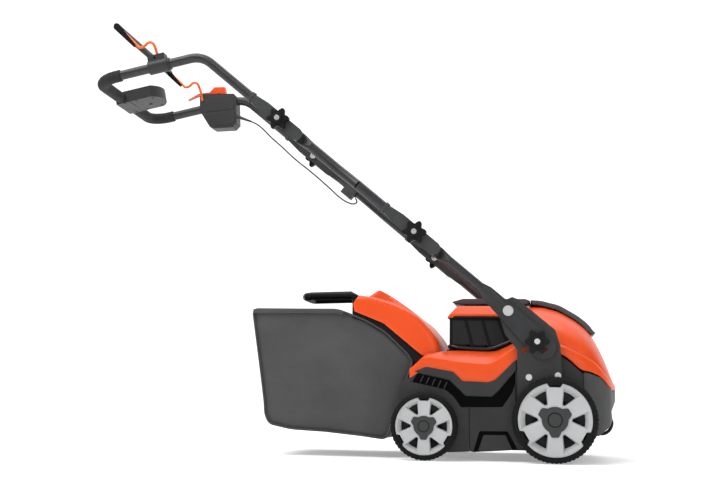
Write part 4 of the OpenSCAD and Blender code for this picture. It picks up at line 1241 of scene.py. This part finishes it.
def make_bail():
    """The bail: one bent wire, both legs and the bar across."""
    side = [(-1077, 1066), (-1083, 1090), (-1094, 1116), (-1108, 1121), (-1122, 1110),
            (-1134, 1108), (-1144, 1116), (-1204, 1174)]
    y0 = 204.5
    leg = catmull([P(x, -y0, z) for x, z in side], 6)
    bar_x, bar_z = side[-1]
    r = 14
    d = (Vector((bar_x, 0, bar_z)) - Vector((side[-2][0], 0, side[-2][1]))).normalized()
    corner = []
    for k in range(1, 9):
        t = math.pi / 2 * k / 8
        corner.append(P(bar_x - d.x * r * (1 - math.sin(t)), -y0 + r * (1 - math.cos(t)),
                        bar_z - d.z * r * (1 - math.sin(t))))
    start = [p for p in leg if (p - P(bar_x, -y0, bar_z)).length > r / 1000]
    half = start + corner
    end = [P(-1077, -212, 1066), P(-1077, -206.5, 1066)]
    path = end + half[1:] + mirrored(half)[:-1] + mirrored(end)
    bail = make("bail_bent_wire", *sweep_points(path, 0.0038, 20), "bail", "bail", "bail_metal")
    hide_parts("bail_wire")


make_bail()


def make_switch_panels():
    """Two shallow panels on each face of the switch box, with the joint between them."""
    upper = [(-1080, 1079), (-984, 1077), (-976, 1070), (-976, 1034), (-1080, 1026)]
    lower = [(-1077, 1022), (-976, 1030), (-972, 1024), (-970, 998), (-982, 984), (-1040, 982),
             (-1050, 988)]
    for label, y_in, y_out in (("inner", 207.6, 210.0), ("outer", 254.0, 256.4)):
        for half, outline, r in (("upper", upper, 5), ("lower", lower, 8)):
            plate("switch_panel_%s_%s" % (half, label), [rounded_loop(outline, r)], y_in, y_out,
                  "dark", "upper_handle", 1.0, side=1)


make_switch_panels()


def grip_point(x, y, z):
    """A point given along, across and above the handle's grip plane, from the loop's bend."""
    c, q = math.cos(math.radians(12)), math.sin(math.radians(12))
    return P(-945 + x * c - z * q, y, 1070.1 + x * q + z * c)


def make_box_details():
    """Screws, seam and plug under the control box."""
    screws = [(-296, -48), (-296, 48), (-262, -48), (-262, 48), (-214, -40), (-214, 40)]
    bars = [("screw_%d" % (i + 1), (x, y, -17.4), (x, y, -18.9), 0.0030, 20)
            for i, (x, y) in enumerate(screws)]
    bars += [("seam", (-279, -54.4, -18.0), (-279, 54.4, -18.0), 0.0008, 8),
             ("plug", (-238, 12, -17.4), (-238, 12, -19.2), 0.0052, 24)]
    for name, a, b, radius, sides in bars:
        rod("control_box_" + name, grip_point(*a), grip_point(*b), radius, sides, "black",
            "upper_handle", "black_cover")


make_box_details()


# the small black loop low on the nose
LOOP = [P(118, -58, 68), P(131, -56, 70), P(143, -53, 80), P(148, -50, 96), P(143, -48, 108),
        P(132, -47, 110)]
make("bumper_loop", *sweep_points(catmull(LOOP, 5), 0.0045, 14), "black", "chassis",
     "black_cover")


for side in ("right", "left"):
    for place in ("upper", "middle", "bracket"):
        finish_node("%s_%s_knob" % (side, place), "knob", 0.0022, 3)

finish_node("clipped_cable", "cable", 0)
finish_node("front_bumper", "bumper", 0.004, 3)
